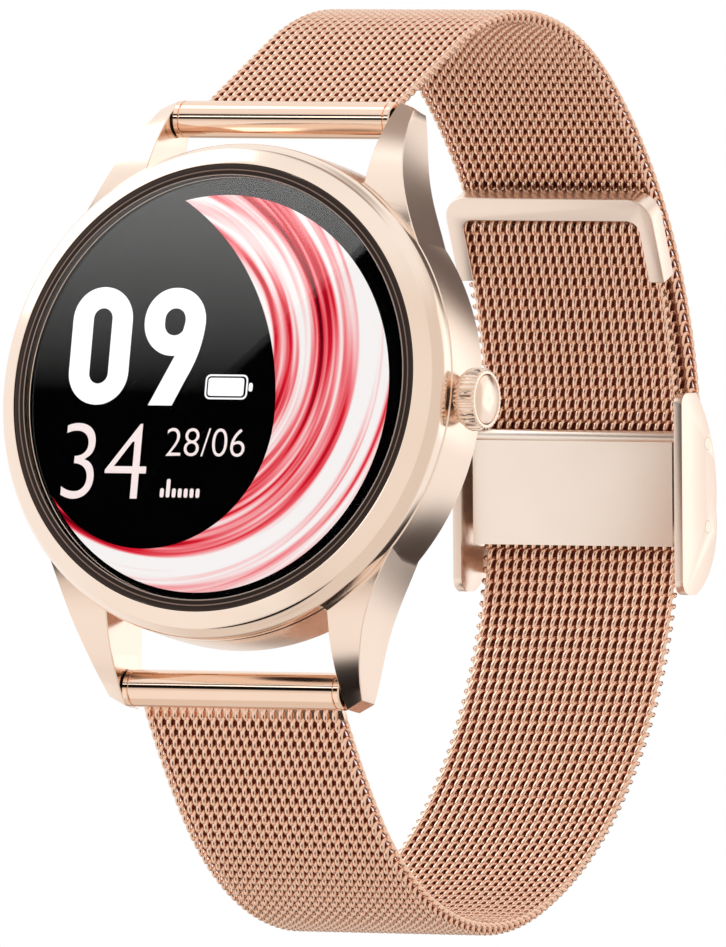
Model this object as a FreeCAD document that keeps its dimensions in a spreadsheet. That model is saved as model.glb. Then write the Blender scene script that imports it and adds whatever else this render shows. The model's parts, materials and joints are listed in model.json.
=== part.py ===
"""Smartwatch on a woven-mesh band with a sliding clasp, in millimetres.

The dial faces -Y, 12 o'clock is +Z and the crown points along +X. The origin is the centre of the wrist loop.
"""
import FreeCAD, Part
import math
import os
import re
import Sketcher
from FreeCAD import Placement, Rotation, Vector

SIZES = {
    # Where the case and the clasp stand round the wrist
    "dial_to_wrist": 36.0,
    "clasp_plate_depth": 25.35,
    "clasp_rise": 1.35,
    "clasp_lean": 11.3,
    # Case, measured from the plane of the dial glass towards the wrist
    "case_radius": 20.0,
    "cavity_radius": 18.3,
    "case_front": 3.0,
    "case_side_end": 8.2,
    "case_back": 9.3,
    "back_seat": 8.3,
    "flange_front": 7.9,
    "flange_radius": 16.8,
    "back_seat_radius": 17.8,
    "edge_break": 0.3,
    "seam": 0.1,
    "skin_gap": 0.05,
    # Lugs and spring bars
    "lug_gap": 20.0,
    "lug_tip_half_width": 11.9,
    "lug_end": 24.4,
    "lug_depth": 10.8,
    "lug_tip_front": 8.3,
    "bar_height": 23.0,
    "bar_depth": 8.6,
    "bar_radius": 0.85,
    "bar_bore": 0.55,
    "bar_half_length": 8.2,
    "tip_shank": 0.5,
    "tip_shank_length": 4.2,
    "tip_shoulder": 0.8,
    "tip_shoulder_length": 0.4,
    "tip_pivot": 0.4,
    "tip_reach": 0.85,
    "tip_travel": 1.0,
    "lug_hole": 0.45,
    "lug_hole_depth": 1.1,
    "spring_wire": 0.09,
    "spring_pitch": 0.55,
    # Bezel, glass and display
    "glass_radius": 17.75,
    "glass_thick": 1.2,
    "glass_edge": 0.15,
    "gasket_radius": 18.0,
    "bezel_slope_radius": 19.3,
    "bezel_slope_drop": 0.75,
    "bezel_round_drop": 1.9,
    "ledge_radius": 17.0,
    "ledge_depth": 1.25,
    "skirt_depth": 3.5,
    "display_radius": 16.8,
    "display_thick": 1.1,
    # Inner frame and electronics
    "frame_front": 2.55,
    "frame_floor": 0.5,
    "frame_radius": 16.9,
    "frame_wall_inner": 16.2,
    "frame_wall_outer": 17.4,
    "frame_wall_front": 3.7,
    "boss_place": 10.6,
    "boss_radius": 1.2,
    "screw_bore": 0.52,
    "screw_shank": 0.5,
    "screw_head": 0.95,
    "screw_head_front": 9.0,
    "screw_head_end": 9.55,
    "screw_start": 5.8,
    "notch_half": 3.0,
    "notch_start": 12.9,
    "board_front": 3.2,
    "board_thick": 0.8,
    "board_radius": 16.0,
    "board_boss_hole": 1.35,
    "shield_height": 1.3,
    "shield_left": 4.5,
    "shield_right": 12.5,
    "battery_thick": 3.0,
    "battery_width": 16.0,
    "battery_height": 18.0,
    "battery_left": -13.0,
    "battery_front": 4.3,
    "motor_radius": 4.0,
    "motor_thick": 2.6,
    "motor_across": 8.3,
    "motor_height": -5.2,
    "flex_thick": 0.12,
    "flex_width": 7.0,
    "flex_edge": -15.6,
    "flex_land": -13.4,
    "sensor_board_radius": 7.5,
    "sensor_board_front": 7.5,
    "sensor_board_thick": 0.5,
    "led_height": 0.6,
    "led_size": 1.3,
    "led_ring": 4.6,
    "diode_size": 2.4,
    # Back cover
    "cover_radius": 17.7,
    "cover_rim_back": 9.6,
    "cover_dome_radius": 14.5,
    "cover_dome_back": 10.1,
    "window_radius": 8.5,
    "window_seat": 9.0,
    "window_ledge": 7.9,
    "window_crown": 10.5,
    "glue": 0.05,
    "seal_inner": 17.0,
    "seal_outer": 17.5,
    "seal_thick": 0.25,
    "contact_radius": 1.0,
    "contact_across": 2.0,
    "contact_height": -12.8,
    "contact_back": 9.95,
    "magnet_radius": 1.75,
    "magnet_across": 6.5,
    "magnet_height": -12.3,
    "magnet_front": 7.05,
    "magnet_thick": 1.2,
    # Crown
    "crown_depth": 4.6,
    "crown_base": 20.35,
    "crown_face": 22.35,
    "crown_radius": 2.5,
    "crown_base_radius": 2.1,
    "crown_base_slope": 0.6,
    "crown_groove": 0.16,
    "crown_teeth": 36,
    "inlay_radius": 2.0,
    "inlay_recess": 0.35,
    "inlay_proud": 0.3,
    "stem_radius": 0.72,
    "stem_start": 16.35,
    "stem_end": 21.6,
    "stem_groove": 0.43,
    "crown_tube_radius": 1.1,
    "crown_tube_bore": 0.79,
    "crown_tube_start": 17.6,
    "crown_tube_end": 20.1,
    "ring_place": 18.6,
    "ring_wire": 0.15,
    "clip_start": 17.32,
    "clip_thick": 0.25,
    "clip_radius": 1.4,
    "clip_bore": 0.5,
    "switch_start": 13.3,
    "switch_length": 2.2,
    "switch_half": 2.3,
    "switch_button": 0.5,
    "switch_button_length": 0.5,
    # Mesh band
    "band_width": 18.2,
    "band_thick": 1.3,
    "upper_heading": 35.8,
    "upper_straight": 13.5,
    "upper_bend": 24.2,
    "upper_bend_turn": 63.7,
    "upper_fall": 41.6,
    "upper_fall_turn": 44.4,
    "lower_heading": -48.6,
    "lower_lead": 69.1,
    "lower_lead_turn": 8.3,
    "lower_bend": 25.7,
    "lower_bend_turn": 69.3,
    "lower_rise": 33.8,
    "lower_rise_turn": 66.3,
    "lower_close": 48.4,
    "lower_close_turn": 27.9,
    "lower_split_turn": 4.0,
    "tail_straight": 3.6,
    # Tubes at the ends of the band
    "tube_radius": 1.5,
    "tube_bore": 0.93,
    "tube_length": 19.7,
    "tube_groove": 0.12,
    "tube_groove_width": 0.18,
    "tube_groove_place": 0.55,
    "neck_start": 1.2,
    "neck_end": 2.6,
    # Tip of the tail
    "tip_thick": 1.8,
    "tip_half_width": 9.5,
    "tip_bar": 2.0,
    "tip_leg": 5.4,
    "tip_leg_width": 1.4,
    "tip_corner": 2.0,
    "fit_gap": 0.03,
    # Clasp: depth from the inner plate's face towards the outside, height along the plate
    "cheek_inner": 9.85,
    "cheek_thick": 0.75,
    "cheek_front": -0.9,
    "cheek_back": 5.0,
    "cheek_top": 7.3,
    "cheek_bottom": -7.0,
    "cheek_crown": 8.2,
    "plate_thick": 0.8,
    "plate_half_width": 9.2,
    "plate_half_height": 4.3,
    "rod_depth": 0.3,
    "rod_height": 4.6,
    "rod_radius": 0.5,
    "rod_bore": 0.3,
    "rod_pin": 0.25,
    "pin_depth": 3.6,
    "cross_pin_height": 4.0,
    "cover_pin_height": -2.8,
    "clasp_pin": 0.5,
    "pin_hole": 0.55,
    "knuckle": 0.92,
    "knuckle_half_length": 8.6,
    "bridge_depth": 2.9,
    "bridge_thick": 0.6,
    "bridge_top": -4.6,
    "bridge_bottom": -6.8,
    "flap_depth": 4.5,
    "flap_thick": 0.5,
    "flap_top": 3.5,
    "flap_bottom": -3.3,
    "flap_half_width": 9.6,
}

doc = FreeCAD.newDocument("Smartwatch")
sheet = doc.addObject("Spreadsheet::Sheet", "Sizes")
for row, (alias, number) in enumerate(SIZES.items(), start=1):
    sheet.set(f"A{row}", alias)
    sheet.set(f"B{row}", repr(number))
    sheet.setAlias(f"B{row}", alias)
doc.recompute()

SUB_PARTS = []
FULL_TURN = 360.0


def bound(formula):
    """Write a formula on sheet aliases as FreeCAD's expression engine reads it."""
    return re.sub(r"[a-z]\w*", lambda word: "Sizes." + word.group() if word.group() in SIZES else word.group(),
                  str(formula))


def number(formula):
    """The present value of a formula on sheet aliases."""
    value = sheet.evalExpression(bound(formula))
    return float(value.Value if hasattr(value, "Value") else value)


def bind(item, settings):
    for path, formula in settings.items():
        item.setExpression(path, bound(formula))


def place(item, across="0", depth="0", height="0", lean="0"):
    """Bind a sub-part's Placement: a position and a turn about +X."""
    item.Placement = Placement(Vector(number(across), number(depth), number(height)),
                               Rotation(Vector(1, 0, 0), number(lean)))
    bind(item, {"Placement.Base.x": across, "Placement.Base.y": depth, "Placement.Base.z": height})
    if lean != "0":
        bind(item, {"Placement.Rotation.Angle": lean})


def new_body(label, kept=True):
    body = doc.addObject("PartDesign::Body", label)
    body.Label = label
    if kept:
        SUB_PARTS.append(body)
    return body


def origin_item(body, role):
    return next(item for item in body.Origin.OriginFeatures if item.Role == role)


def new_sketch(body, plane, offset="0"):
    """A sketch on one of the body's own planes; an offset lifts it along that plane's normal."""
    sketch = body.newObject("Sketcher::SketchObject", body.Name + "_sketch")
    sketch.AttachmentSupport = [(origin_item(body, plane), "")]
    sketch.MapMode = "FlatFace"
    if offset != "0":
        bind(sketch, {"AttachmentOffset.Base.z": offset})
    return sketch


def draw_circle(sketch, radius, across="0", up="0"):
    centre = Vector(number(across), number(up), 0)
    index = sketch.addGeometry(Part.Circle(centre, Vector(0, 0, 1), number(radius)), False)
    for kind, formula in (("DistanceX", across), ("DistanceY", up)):
        added = sketch.addConstraint(Sketcher.Constraint(kind, index, 3, number(formula)))
        bind(sketch, {f"Constraints[{added}]": formula})
    added = sketch.addConstraint(Sketcher.Constraint("Radius", index, number(radius)))
    bind(sketch, {f"Constraints[{added}]": radius})


def draw_outline(sketch, corners, arcs=None):
    """A closed outline through corners given as formulas; arcs maps a side's number to a point it passes through."""
    arcs = arcs or {}
    spots = [Vector(number(x), number(y), 0) for x, y in corners]
    sides = []
    for side, spot in enumerate(spots):
        following = spots[(side + 1) % len(spots)]
        if side in arcs:
            middle = Vector(number(arcs[side][0]), number(arcs[side][1]), 0)
            forward = (middle - spot).cross(following - middle).z > 0
            ends = (spot, following) if forward else (following, spot)
            curve = Part.ArcOfCircle(ends[0], middle, ends[1])
        else:
            forward = True
            curve = Part.LineSegment(spot, following)
        index = sketch.addGeometry(curve, False)
        sides.append((index, 1 if forward else 2, 2 if forward else 1, curve))
    for side, (x, y) in enumerate(corners):
        index, start, _, curve = sides[side]
        before, _, ending, _ = sides[side - 1]
        sketch.addConstraint(Sketcher.Constraint("Coincident", before, ending, index, start))
        for kind, formula in (("DistanceX", x), ("DistanceY", y)):
            added = sketch.addConstraint(Sketcher.Constraint(kind, index, start, number(formula)))
            bind(sketch, {f"Constraints[{added}]": formula})
        if side in arcs:
            sketch.addConstraint(Sketcher.Constraint("Radius", index, curve.Radius))


def extruded(body, kind, plane, draw, length, offset="0", midplane=False, reverse=False, through=False):
    """A Pad or Pocket of what draw(sketch) puts on the plane."""
    sketch = new_sketch(body, plane, offset)
    draw(sketch)
    feature = body.newObject("PartDesign::" + kind, body.Name + "_" + kind.lower())
    feature.Profile = sketch
    if through:
        feature.Type = 1
    else:
        bind(feature, {"Length": length})
    feature.Midplane = midplane
    feature.Reversed = reverse
    return feature


def revolved(body, kind, draw, axis):
    """A full-turn Revolution or Groove of an XY sketch about the body's own X or Y."""
    sketch = new_sketch(body, "XY_Plane")
    draw(sketch)
    feature = body.newObject("PartDesign::" + kind, body.Name + "_" + kind.lower())
    feature.Profile = sketch
    feature.ReferenceAxis = (sketch, ["H_Axis" if axis == "X" else "V_Axis"])
    feature.Angle = FULL_TURN
    return feature


def turned(label, corners, axis="Y", arcs=None, kept=True):
    """A turned sub-part; corners are (radius, depth) about Y, or (place, radius) about X."""
    body = new_body(label, kept)
    revolved(body, "Revolution", lambda sketch: draw_outline(sketch, corners, arcs), axis)
    return body


def block(name, across, depth, height, across_size, depth_size, height_size):
    """A box from its low corner and its three sizes."""
    box = doc.addObject("Part::Box", name)
    bind(box, {"Length": across_size, "Width": depth_size, "Height": height_size})
    place(box, across, depth, height)
    return box


def rod_along(name, radius, length, direction, across, depth, height):
    """A cylinder from its start along +X or +Y."""
    rod = doc.addObject("Part::Cylinder", name)
    bind(rod, {"Radius": radius, "Height": length})
    turn = Rotation(Vector(0, 0, 1), Vector(1, 0, 0) if direction == "X" else Vector(0, 1, 0))
    rod.Placement = Placement(Vector(number(across), number(depth), number(height)), turn)
    bind(rod, {"Placement.Base.x": across, "Placement.Base.y": depth, "Placement.Base.z": height})
    return rod


def joined(label, tool, pieces, kept=True):
    """A Part::Compound, Part::MultiFuse or Part::MultiCommon of pieces, as one sub-part."""
    whole = doc.addObject("Part::" + tool, label)
    whole.Label = label
    if tool == "Compound":
        whole.Links = pieces
    else:
        whole.Shapes = pieces
    if kept:
        SUB_PARTS.append(whole)
    return whole


def cut(label, base, tools):
    """Base less its tools, as one sub-part."""
    removed = tools[0] if len(tools) == 1 else joined(label + "_tools", "MultiFuse", tools, kept=False)
    result = doc.addObject("Part::Cut", label)
    result.Label = label
    result.Base = base
    result.Tool = removed
    SUB_PARTS.append(result)
    return result


DIAL = "-dial_to_wrist"


def at_dial(item):
    place(item, depth=DIAL)
    return item


# ---------------------------------------------------------------- case

def make_case_body():
    """Mid-case: a ring with a slightly rounded band and four lugs that sweep back to the spring bars."""
    body = new_body("case_body")
    edge, tip = "lug_gap / 2", "lug_tip_half_width"

    def lug_plans(sketch):
        for side in ("", "-"):
            for end in ("", "-"):
                corners = [(f"{side}({edge})", f"{end}16.6"), (f"{side}({edge})", f"{end}lug_end"),
                           (f"{side}{tip}", f"{end}lug_end"), (f"{side}16.25", f"{end}11.65"),
                           (f"{side}15.5", f"{end}11.3")]
                draw_outline(sketch, corners, {2: (f"{side}13.15", f"{end}17.6")})

    def front_waste(sketch):
        for end in ("", "-"):
            draw_outline(sketch, [("-1", f"{end}11"), ("case_front + 0.1", f"{end}11.2"),
                                  ("lug_tip_front", f"{end}(lug_end + 0.2)"), ("-1", f"{end}(lug_end + 1)")],
                         {1: ("4.75", f"{end}18.6")})

    def back_waste(sketch):
        for end in ("", "-"):
            draw_outline(sketch, [("case_side_end - 0.6", f"{end}10.5"), ("lug_depth - 0.2", f"{end}(lug_end + 0.1)"),
                                  ("lug_depth + 1", f"{end}(lug_end + 1)"), ("lug_depth + 1", f"{end}10.5")],
                         {0: ("10.1", f"{end}19.2")})

    extruded(body, "Pad", "XZ_Plane", lug_plans, "lug_depth", reverse=True)
    extruded(body, "Pocket", "YZ_Plane", front_waste, "2 * case_radius", midplane=True)
    extruded(body, "Pocket", "YZ_Plane", back_waste, "2 * case_radius", midplane=True)
    ring = [("cavity_radius", "case_front"), ("case_radius - edge_break", "case_front"),
            ("case_radius - 0.05", "case_front + edge_break"), ("case_radius - 0.05", "case_side_end"),
            ("case_radius - 1.1", "case_back"), ("back_seat_radius", "case_back"), ("back_seat_radius", "back_seat"),
            ("flange_radius", "back_seat"), ("flange_radius", "flange_front"), ("cavity_radius", "flange_front")]
    revolved(body, "Revolution", lambda sketch: draw_outline(sketch, ring, {2: ("case_radius", "5.7")}), "Y")

    def stem_hole(sketch):
        draw_circle(sketch, "crown_tube_radius", "crown_depth")

    extruded(body, "Pocket", "YZ_Plane", stem_hole, "case_radius + 1", reverse=True)

    def bar_holes(sketch):
        for end in ("", "-"):
            draw_circle(sketch, "lug_hole", "bar_depth", f"{end}bar_height")

    extruded(body, "Pocket", "YZ_Plane", bar_holes, "lug_gap + 2 * lug_hole_depth", midplane=True)
    at_dial(body)


def make_front():
    """Bezel, sealing ring, glass and display, stacked from the front."""
    bezel = [("gasket_radius + 0.02", "0"), ("bezel_slope_radius", "bezel_slope_drop"),
             ("case_radius - 0.05", "bezel_round_drop"), ("case_radius - 0.05", "case_front - seam"),
             ("cavity_radius - skin_gap", "case_front - seam"), ("cavity_radius - skin_gap", "skirt_depth"),
             ("cavity_radius - 0.7", "skirt_depth"), ("cavity_radius - 0.7", "ledge_depth + 0.6"),
             ("ledge_radius", "ledge_depth + 0.6"), ("ledge_radius", "ledge_depth"),
             ("gasket_radius + 0.02", "ledge_depth")]
    at_dial(turned("bezel_ring", bezel, arcs={1: ("case_radius - 0.26", "bezel_slope_drop + 0.42")}))
    gasket = [("glass_radius + 0.02", "0.02"), ("gasket_radius", "0.02"), ("gasket_radius", "ledge_depth"),
              ("glass_radius + 0.02", "ledge_depth")]
    at_dial(turned("glass_gasket", gasket))
    glass = [("0", "0"), ("glass_radius - glass_edge", "0"), ("glass_radius", "glass_edge"),
             ("glass_radius", "glass_thick"), ("0", "glass_thick")]
    at_dial(turned("cover_glass", glass))
    display = [("0", "ledge_depth"), ("display_radius", "ledge_depth"),
               ("display_radius", "ledge_depth + display_thick"), ("0", "ledge_depth + display_thick")]
    at_dial(turned("display_panel", display))
    body = new_body("display_flex")
    back = "ledge_depth + display_thick"
    strip = [("flex_land", back), ("flex_edge - flex_thick", back),
             ("flex_edge - flex_thick", "board_front + board_thick + flex_thick"),
             ("flex_land", "board_front + board_thick + flex_thick"), ("flex_land", "board_front + board_thick"),
             ("flex_edge", "board_front + board_thick"), ("flex_edge", f"{back} + flex_thick"),
             ("flex_land", f"{back} + flex_thick")]
    extruded(body, "Pad", "XY_Plane", lambda sketch: draw_outline(sketch, strip), "flex_width", midplane=True)
    at_dial(body)


def boss_spots():
    return [(f"{side}boss_place", f"{end}boss_place") for side in ("", "-") for end in ("", "-")]


def make_inner_frame():
    """Moulded frame: a floor under the display, a wall round the boards and four screw bosses."""
    body = new_body("inner_chassis")
    profile = [("0", "frame_front"), ("frame_radius", "frame_front"), ("frame_radius", "frame_wall_front"),
               ("frame_wall_outer", "frame_wall_front"), ("frame_wall_outer", "flange_front - skin_gap"),
               ("frame_wall_inner", "flange_front - skin_gap"), ("frame_wall_inner", "frame_front + frame_floor"),
               ("0", "frame_front + frame_floor")]
    revolved(body, "Revolution", lambda sketch: draw_outline(sketch, profile), "Y")

    def bosses(sketch):
        for across, height in boss_spots():
            draw_circle(sketch, "boss_radius", across, height)

    def bores(sketch):
        for across, height in boss_spots():
            draw_circle(sketch, "screw_bore", across, height)

    def crown_notch(sketch):
        draw_outline(sketch, [("notch_start", "-notch_half"), ("case_radius", "-notch_half"),
                              ("case_radius", "notch_half"), ("notch_start", "notch_half")])

    def flex_slot(sketch):
        draw_outline(sketch, [("-frame_wall_inner", "-flex_width / 2 - 0.4"), ("-15.2", "-flex_width / 2 - 0.4"),
                              ("-15.2", "flex_width / 2 + 0.4"), ("-frame_wall_inner", "flex_width / 2 + 0.4")])

    extruded(body, "Pad", "XZ_Plane", bosses, "back_seat - frame_front - 0.05", offset="-frame_front", reverse=True)
    extruded(body, "Pocket", "XZ_Plane", bores, "case_back", offset="-screw_start + 0.2")
    extruded(body, "Pocket", "XZ_Plane", crown_notch, "case_back", offset="-frame_front - frame_floor")
    extruded(body, "Pocket", "XZ_Plane", flex_slot, "frame_floor + 1", offset="-frame_front + 0.5")
    at_dial(body)


def make_electronics():
    """Main board with its shield cans, battery, vibration motor and the sensor board."""
    disc = rod_along("main_board_disc", "board_radius", "board_thick", "Y", "0", "board_front", "0")
    holes = [rod_along(f"main_board_hole_{n}", "board_boss_hole", "board_thick + 1", "Y", across,
                       "board_front - 0.5", height) for n, (across, height) in enumerate(boss_spots(), start=1)]
    notch = block("main_board_notch", "notch_start", "board_front - 0.5", "-notch_half", "5", "board_thick + 1",
                  "2 * notch_half")
    slot = block("main_board_slot", "-board_radius - 1", "board_front - 0.5", "-flex_width / 2 - 0.4",
                 "board_radius - 14.2", "board_thick + 1", "flex_width + 0.8")
    at_dial(cut("main_board", disc, holes + [notch, slot]))
    face = "board_front + board_thick"
    cans = [block("shield_radio", "shield_left", face, "0.6", "shield_right - shield_left", "shield_height", "8.2"),
            block("shield_power", "shield_left - 9", face, "9.6", "12", "shield_height", "3.6")]
    at_dial(joined("board_shields", "Compound", cans))
    battery = new_body("battery")

    def pouch(sketch):
        draw_outline(sketch, [("battery_left", "-battery_height / 2"),
                              ("battery_left + battery_width", "-battery_height / 2"),
                              ("battery_left + battery_width", "battery_height / 2"),
                              ("battery_left", "battery_height / 2")])

    extruded(battery, "Pad", "XZ_Plane", pouch, "battery_thick", offset="-battery_front", reverse=True)
    at_dial(battery)
    motor = new_body("vibration_motor")
    extruded(motor, "Pad", "XZ_Plane", lambda sketch: draw_circle(sketch, "motor_radius"), "motor_thick",
             reverse=True)
    place(motor, "motor_across", f"{DIAL} + {face} + skin_gap", "motor_height")
    sensor = new_body("sensor_board")
    extruded(sensor, "Pad", "XZ_Plane", lambda sketch: draw_circle(sketch, "sensor_board_radius"),
             "sensor_board_thick", reverse=True)
    place(sensor, depth=f"{DIAL} + sensor_board_front")
    lamp_face = "sensor_board_front + sensor_board_thick"
    lamps = [block("photodiode", "-diode_size / 2", lamp_face, "-diode_size / 2", "diode_size", "led_height",
                   "diode_size")]
    for lamp, (across, height) in enumerate((("led_ring", "0"), ("0", "led_ring"), ("-led_ring", "0"),
                                             ("0", "-led_ring")), start=1):
        lamps.append(block(f"led_{lamp}", f"{across} - led_size / 2", lamp_face, f"{height} - led_size / 2",
                           "led_size", "led_height", "led_size"))
    at_dial(joined("sensor_leds", "Compound", lamps))


def make_back():
    """Rear cover with its seal, sensor window, screws, charge contacts and the magnets behind them."""
    cover = new_body("rear_cover")
    profile = [("window_ledge", "back_seat + skin_gap"), ("seal_inner - 0.1", "back_seat + skin_gap"),
               ("seal_inner - 0.1", "back_seat + seal_thick"), ("cover_radius", "back_seat + seal_thick"),
               ("cover_radius", "cover_rim_back - 0.2"), ("cover_radius - 0.2", "cover_rim_back"),
               ("cover_dome_radius", "cover_rim_back"), ("window_radius + 0.1", "cover_dome_back"),
               ("window_radius + 0.1", "window_seat"), ("window_ledge", "window_seat")]
    revolved(cover, "Revolution", lambda sketch: draw_outline(sketch, profile), "Y")

    def shanks(sketch):
        for across, height in boss_spots():
            draw_circle(sketch, "screw_bore + 0.08", across, height)

    def heads(sketch):
        for across, height in boss_spots():
            draw_circle(sketch, "screw_head + 0.05", across, height)

    def pads(sketch):
        for side in ("", "-"):
            draw_circle(sketch, "contact_radius + glue", f"{side}contact_across", "contact_height")

    extruded(cover, "Pocket", "XZ_Plane", shanks, "3", offset="-back_seat + 1", reverse=False)
    extruded(cover, "Pocket", "XZ_Plane", heads, "3", offset="-screw_head_front", reverse=False)
    extruded(cover, "Pocket", "XZ_Plane", pads, "5", offset="-back_seat + 1", reverse=False)
    at_dial(cover)
    seal = [("seal_inner", "back_seat"), ("seal_outer", "back_seat"), ("seal_outer", "back_seat + seal_thick"),
            ("seal_inner", "back_seat + seal_thick")]
    at_dial(turned("rear_gasket", seal))
    window = [("0", "window_seat"), ("window_radius", "window_seat"), ("window_radius", "cover_dome_back"),
              ("window_radius / 2", "window_crown"), ("0", "window_crown")]
    at_dial(turned("sensor_window", window, arcs={2: ("window_radius * 0.77", "window_crown - 0.12")}))
    screws = []
    for count, (across, height) in enumerate(boss_spots(), start=1):
        shank = rod_along(f"screw_shank_{count}", "screw_shank", "screw_head_front - screw_start", "Y", across,
                          "screw_start", height)
        head = rod_along(f"screw_head_{count}", "screw_head", "screw_head_end - screw_head_front", "Y", across,
                         "screw_head_front", height)
        whole = joined(f"screw_{count}", "MultiFuse", [shank, head], kept=False)
        slot = block(f"screw_slot_{count}", f"{across} - screw_head", "screw_head_end - 0.25", f"{height} - 0.12",
                     "2 * screw_head", "1", "0.24")
        slotted = doc.addObject("Part::Cut", f"slotted_screw_{count}")
        slotted.Base, slotted.Tool = whole, slot
        screws.append(slotted)
    at_dial(joined("rear_screws", "Compound", screws))
    contacts = [rod_along(f"contact_{name}", "contact_radius", "contact_back - back_seat", "Y",
                          f"{side}contact_across", "back_seat", "contact_height")
                for name, side in (("right", ""), ("left", "-"))]
    at_dial(joined("charge_contacts", "Compound", contacts))
    magnets = [rod_along(f"magnet_{name}", "magnet_radius", "magnet_thick", "Y", f"{side}magnet_across",
                         "magnet_front", "magnet_height") for name, side in (("right", ""), ("left", "-"))]
    at_dial(joined("charge_magnets", "Compound", magnets))


# ---------------------------------------------------------------- crown

def make_crown():
    """Turning and pressing crown: cap with knurling, inlay, stem, seal ring, clip, tube and switch."""
    def set_here(item):
        place(item, depth=f"{DIAL} + crown_depth")

    cap = new_body("crown_cap")
    bore, depth_in = "stem_radius + 0.02", "stem_end + 0.1"
    profile = [("crown_base", bore), ("crown_base", "crown_base_radius"),
               ("crown_base + crown_base_slope", "crown_radius"), ("crown_face - 0.15", "crown_radius"),
               ("crown_face", "crown_radius - 0.2"), ("crown_face", "inlay_radius"),
               ("crown_face - inlay_recess", "inlay_radius"), ("crown_face - inlay_recess", "0"), (depth_in, "0"),
               (depth_in, bore)]
    revolved(cap, "Revolution", lambda sketch: draw_outline(sketch, profile), "X")

    def tooth_gap(sketch):
        draw_outline(sketch, [("crown_radius - crown_groove", "0"), ("crown_radius + 0.1", "-crown_groove * 0.8"),
                              ("crown_radius + 0.1", "crown_groove * 0.8")])

    gap = extruded(cap, "Pocket", "YZ_Plane", tooth_gap, "3", offset="crown_base + crown_base_slope * 0.4",
                   reverse=True)
    doc.recompute()
    knurl = cap.newObject("PartDesign::PolarPattern", "crown_cap_knurl")
    knurl.Originals = [gap]
    knurl.Axis = (origin_item(cap, "X_Axis"), [""])
    knurl.Angle = FULL_TURN
    bind(knurl, {"Occurrences": "crown_teeth"})
    cap.Tip = knurl
    set_here(cap)
    inlay = [("crown_face - inlay_recess", "0"), ("crown_face - inlay_recess", "inlay_radius - 0.03"),
             ("crown_face", "inlay_radius - 0.03"), ("crown_face + inlay_proud", "0")]
    set_here(turned("crown_inlay", inlay, "X", {2: ("crown_face + inlay_proud * 0.72", "inlay_radius / 2")}))
    stem = [("stem_start", "0"), ("stem_start", "stem_radius"), ("clip_start", "stem_radius"),
            ("clip_start", "stem_groove"), ("clip_start + clip_thick", "stem_groove"),
            ("clip_start + clip_thick", "stem_radius"), ("ring_place - 0.25", "stem_radius"),
            ("ring_place - 0.25", "stem_groove"), ("ring_place + 0.25", "stem_groove"),
            ("ring_place + 0.25", "stem_radius"), ("stem_end", "stem_radius"), ("stem_end", "0")]
    set_here(turned("crown_stem", stem, "X"))
    ring = doc.addObject("Part::Torus", "crown_o_ring")
    bind(ring, {"Radius1": "stem_groove + ring_wire + 0.02", "Radius2": "ring_wire"})
    ring.Placement = Placement(Vector(0, 0, 0), Rotation(Vector(0, 0, 1), Vector(1, 0, 0)))
    bind(ring, {"Placement.Base.x": "ring_place", "Placement.Base.y": f"{DIAL} + crown_depth"})
    SUB_PARTS.append(ring)
    clip = [("clip_start + 0.02", "clip_bore"), ("clip_start + 0.02", "clip_radius"),
            ("clip_start + clip_thick - 0.02", "clip_radius"), ("clip_start + clip_thick - 0.02", "clip_bore")]
    set_here(turned("crown_retaining_clip", clip, "X"))
    tube = [("crown_tube_start", "crown_tube_bore"), ("crown_tube_start", "crown_tube_radius"),
            ("crown_tube_end", "crown_tube_radius"), ("crown_tube_end", "crown_tube_bore")]
    set_here(turned("crown_tube", tube, "X"))
    shell = block("switch_shell", "switch_start", "-1.2", "-switch_half", "switch_length", "2.5", "2 * switch_half")
    button = rod_along("switch_button_rod", "switch_button", "switch_button_length + 0.1", "X",
                       "switch_start + switch_length - 0.1", "0", "0")
    set_here(joined("crown_switch", "MultiFuse", [shell, button]))


# ---------------------------------------------------------------- spring bars

def make_spring_bars():
    """Each bar is a tube with a coil spring between two sliding tips that stand in the lug holes."""
    inner_end = "bar_half_length + tip_travel + 0.1 - tip_shank_length"
    for which, sign in (("upper", ""), ("lower", "-")):
        depth, height = f"{DIAL} + bar_depth", f"{sign}bar_height"
        tube = [("-bar_half_length", "bar_bore"), ("-bar_half_length", "bar_radius"),
                ("bar_half_length", "bar_radius"), ("bar_half_length", "bar_bore")]
        place(turned(f"spring_bar_{which}", tube, "X"), "0", depth, height)
        shoulder = "bar_half_length + tip_travel + 0.1"
        tip = [(inner_end, "0"), (inner_end, "tip_shank"), (shoulder, "tip_shank"), (shoulder, "tip_shoulder"),
               (f"{shoulder} + tip_shoulder_length", "tip_shoulder"),
               (f"{shoulder} + tip_shoulder_length", "tip_pivot"), ("lug_gap / 2 + tip_reach - 0.1", "tip_pivot"),
               ("lug_gap / 2 + tip_reach", "tip_pivot - 0.12"), ("lug_gap / 2 + tip_reach", "0")]
        place(turned(f"spring_bar_{which}_tip_right", tip, "X"), "0", depth, height)
        mirrored = [(f"-({along})", radius) for along, radius in tip]
        place(turned(f"spring_bar_{which}_tip_left", mirrored, "X"), "0", depth, height)
        coil = doc.addObject("Part::Feature", f"spring_bar_{which}_spring")
        span = 2 * number(inner_end) - 4 * number("spring_wire")
        radius = number("bar_bore - 2 * spring_wire")
        path = Part.makeHelix(number("spring_pitch"), span, radius)
        wire = Part.Wire(Part.makeCircle(number("spring_wire"), Vector(radius, 0, 0), Vector(0, 1, 0)))
        coil.Shape = Part.Wire(path).makePipeShell([wire], True, True)
        coil.Placement = Placement(Vector(-span / 2, number(depth), number(height)),
                                   Rotation(Vector(0, 0, 1), Vector(1, 0, 0)))
        SUB_PARTS.append(coil)


# ---------------------------------------------------------------- mesh band

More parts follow.
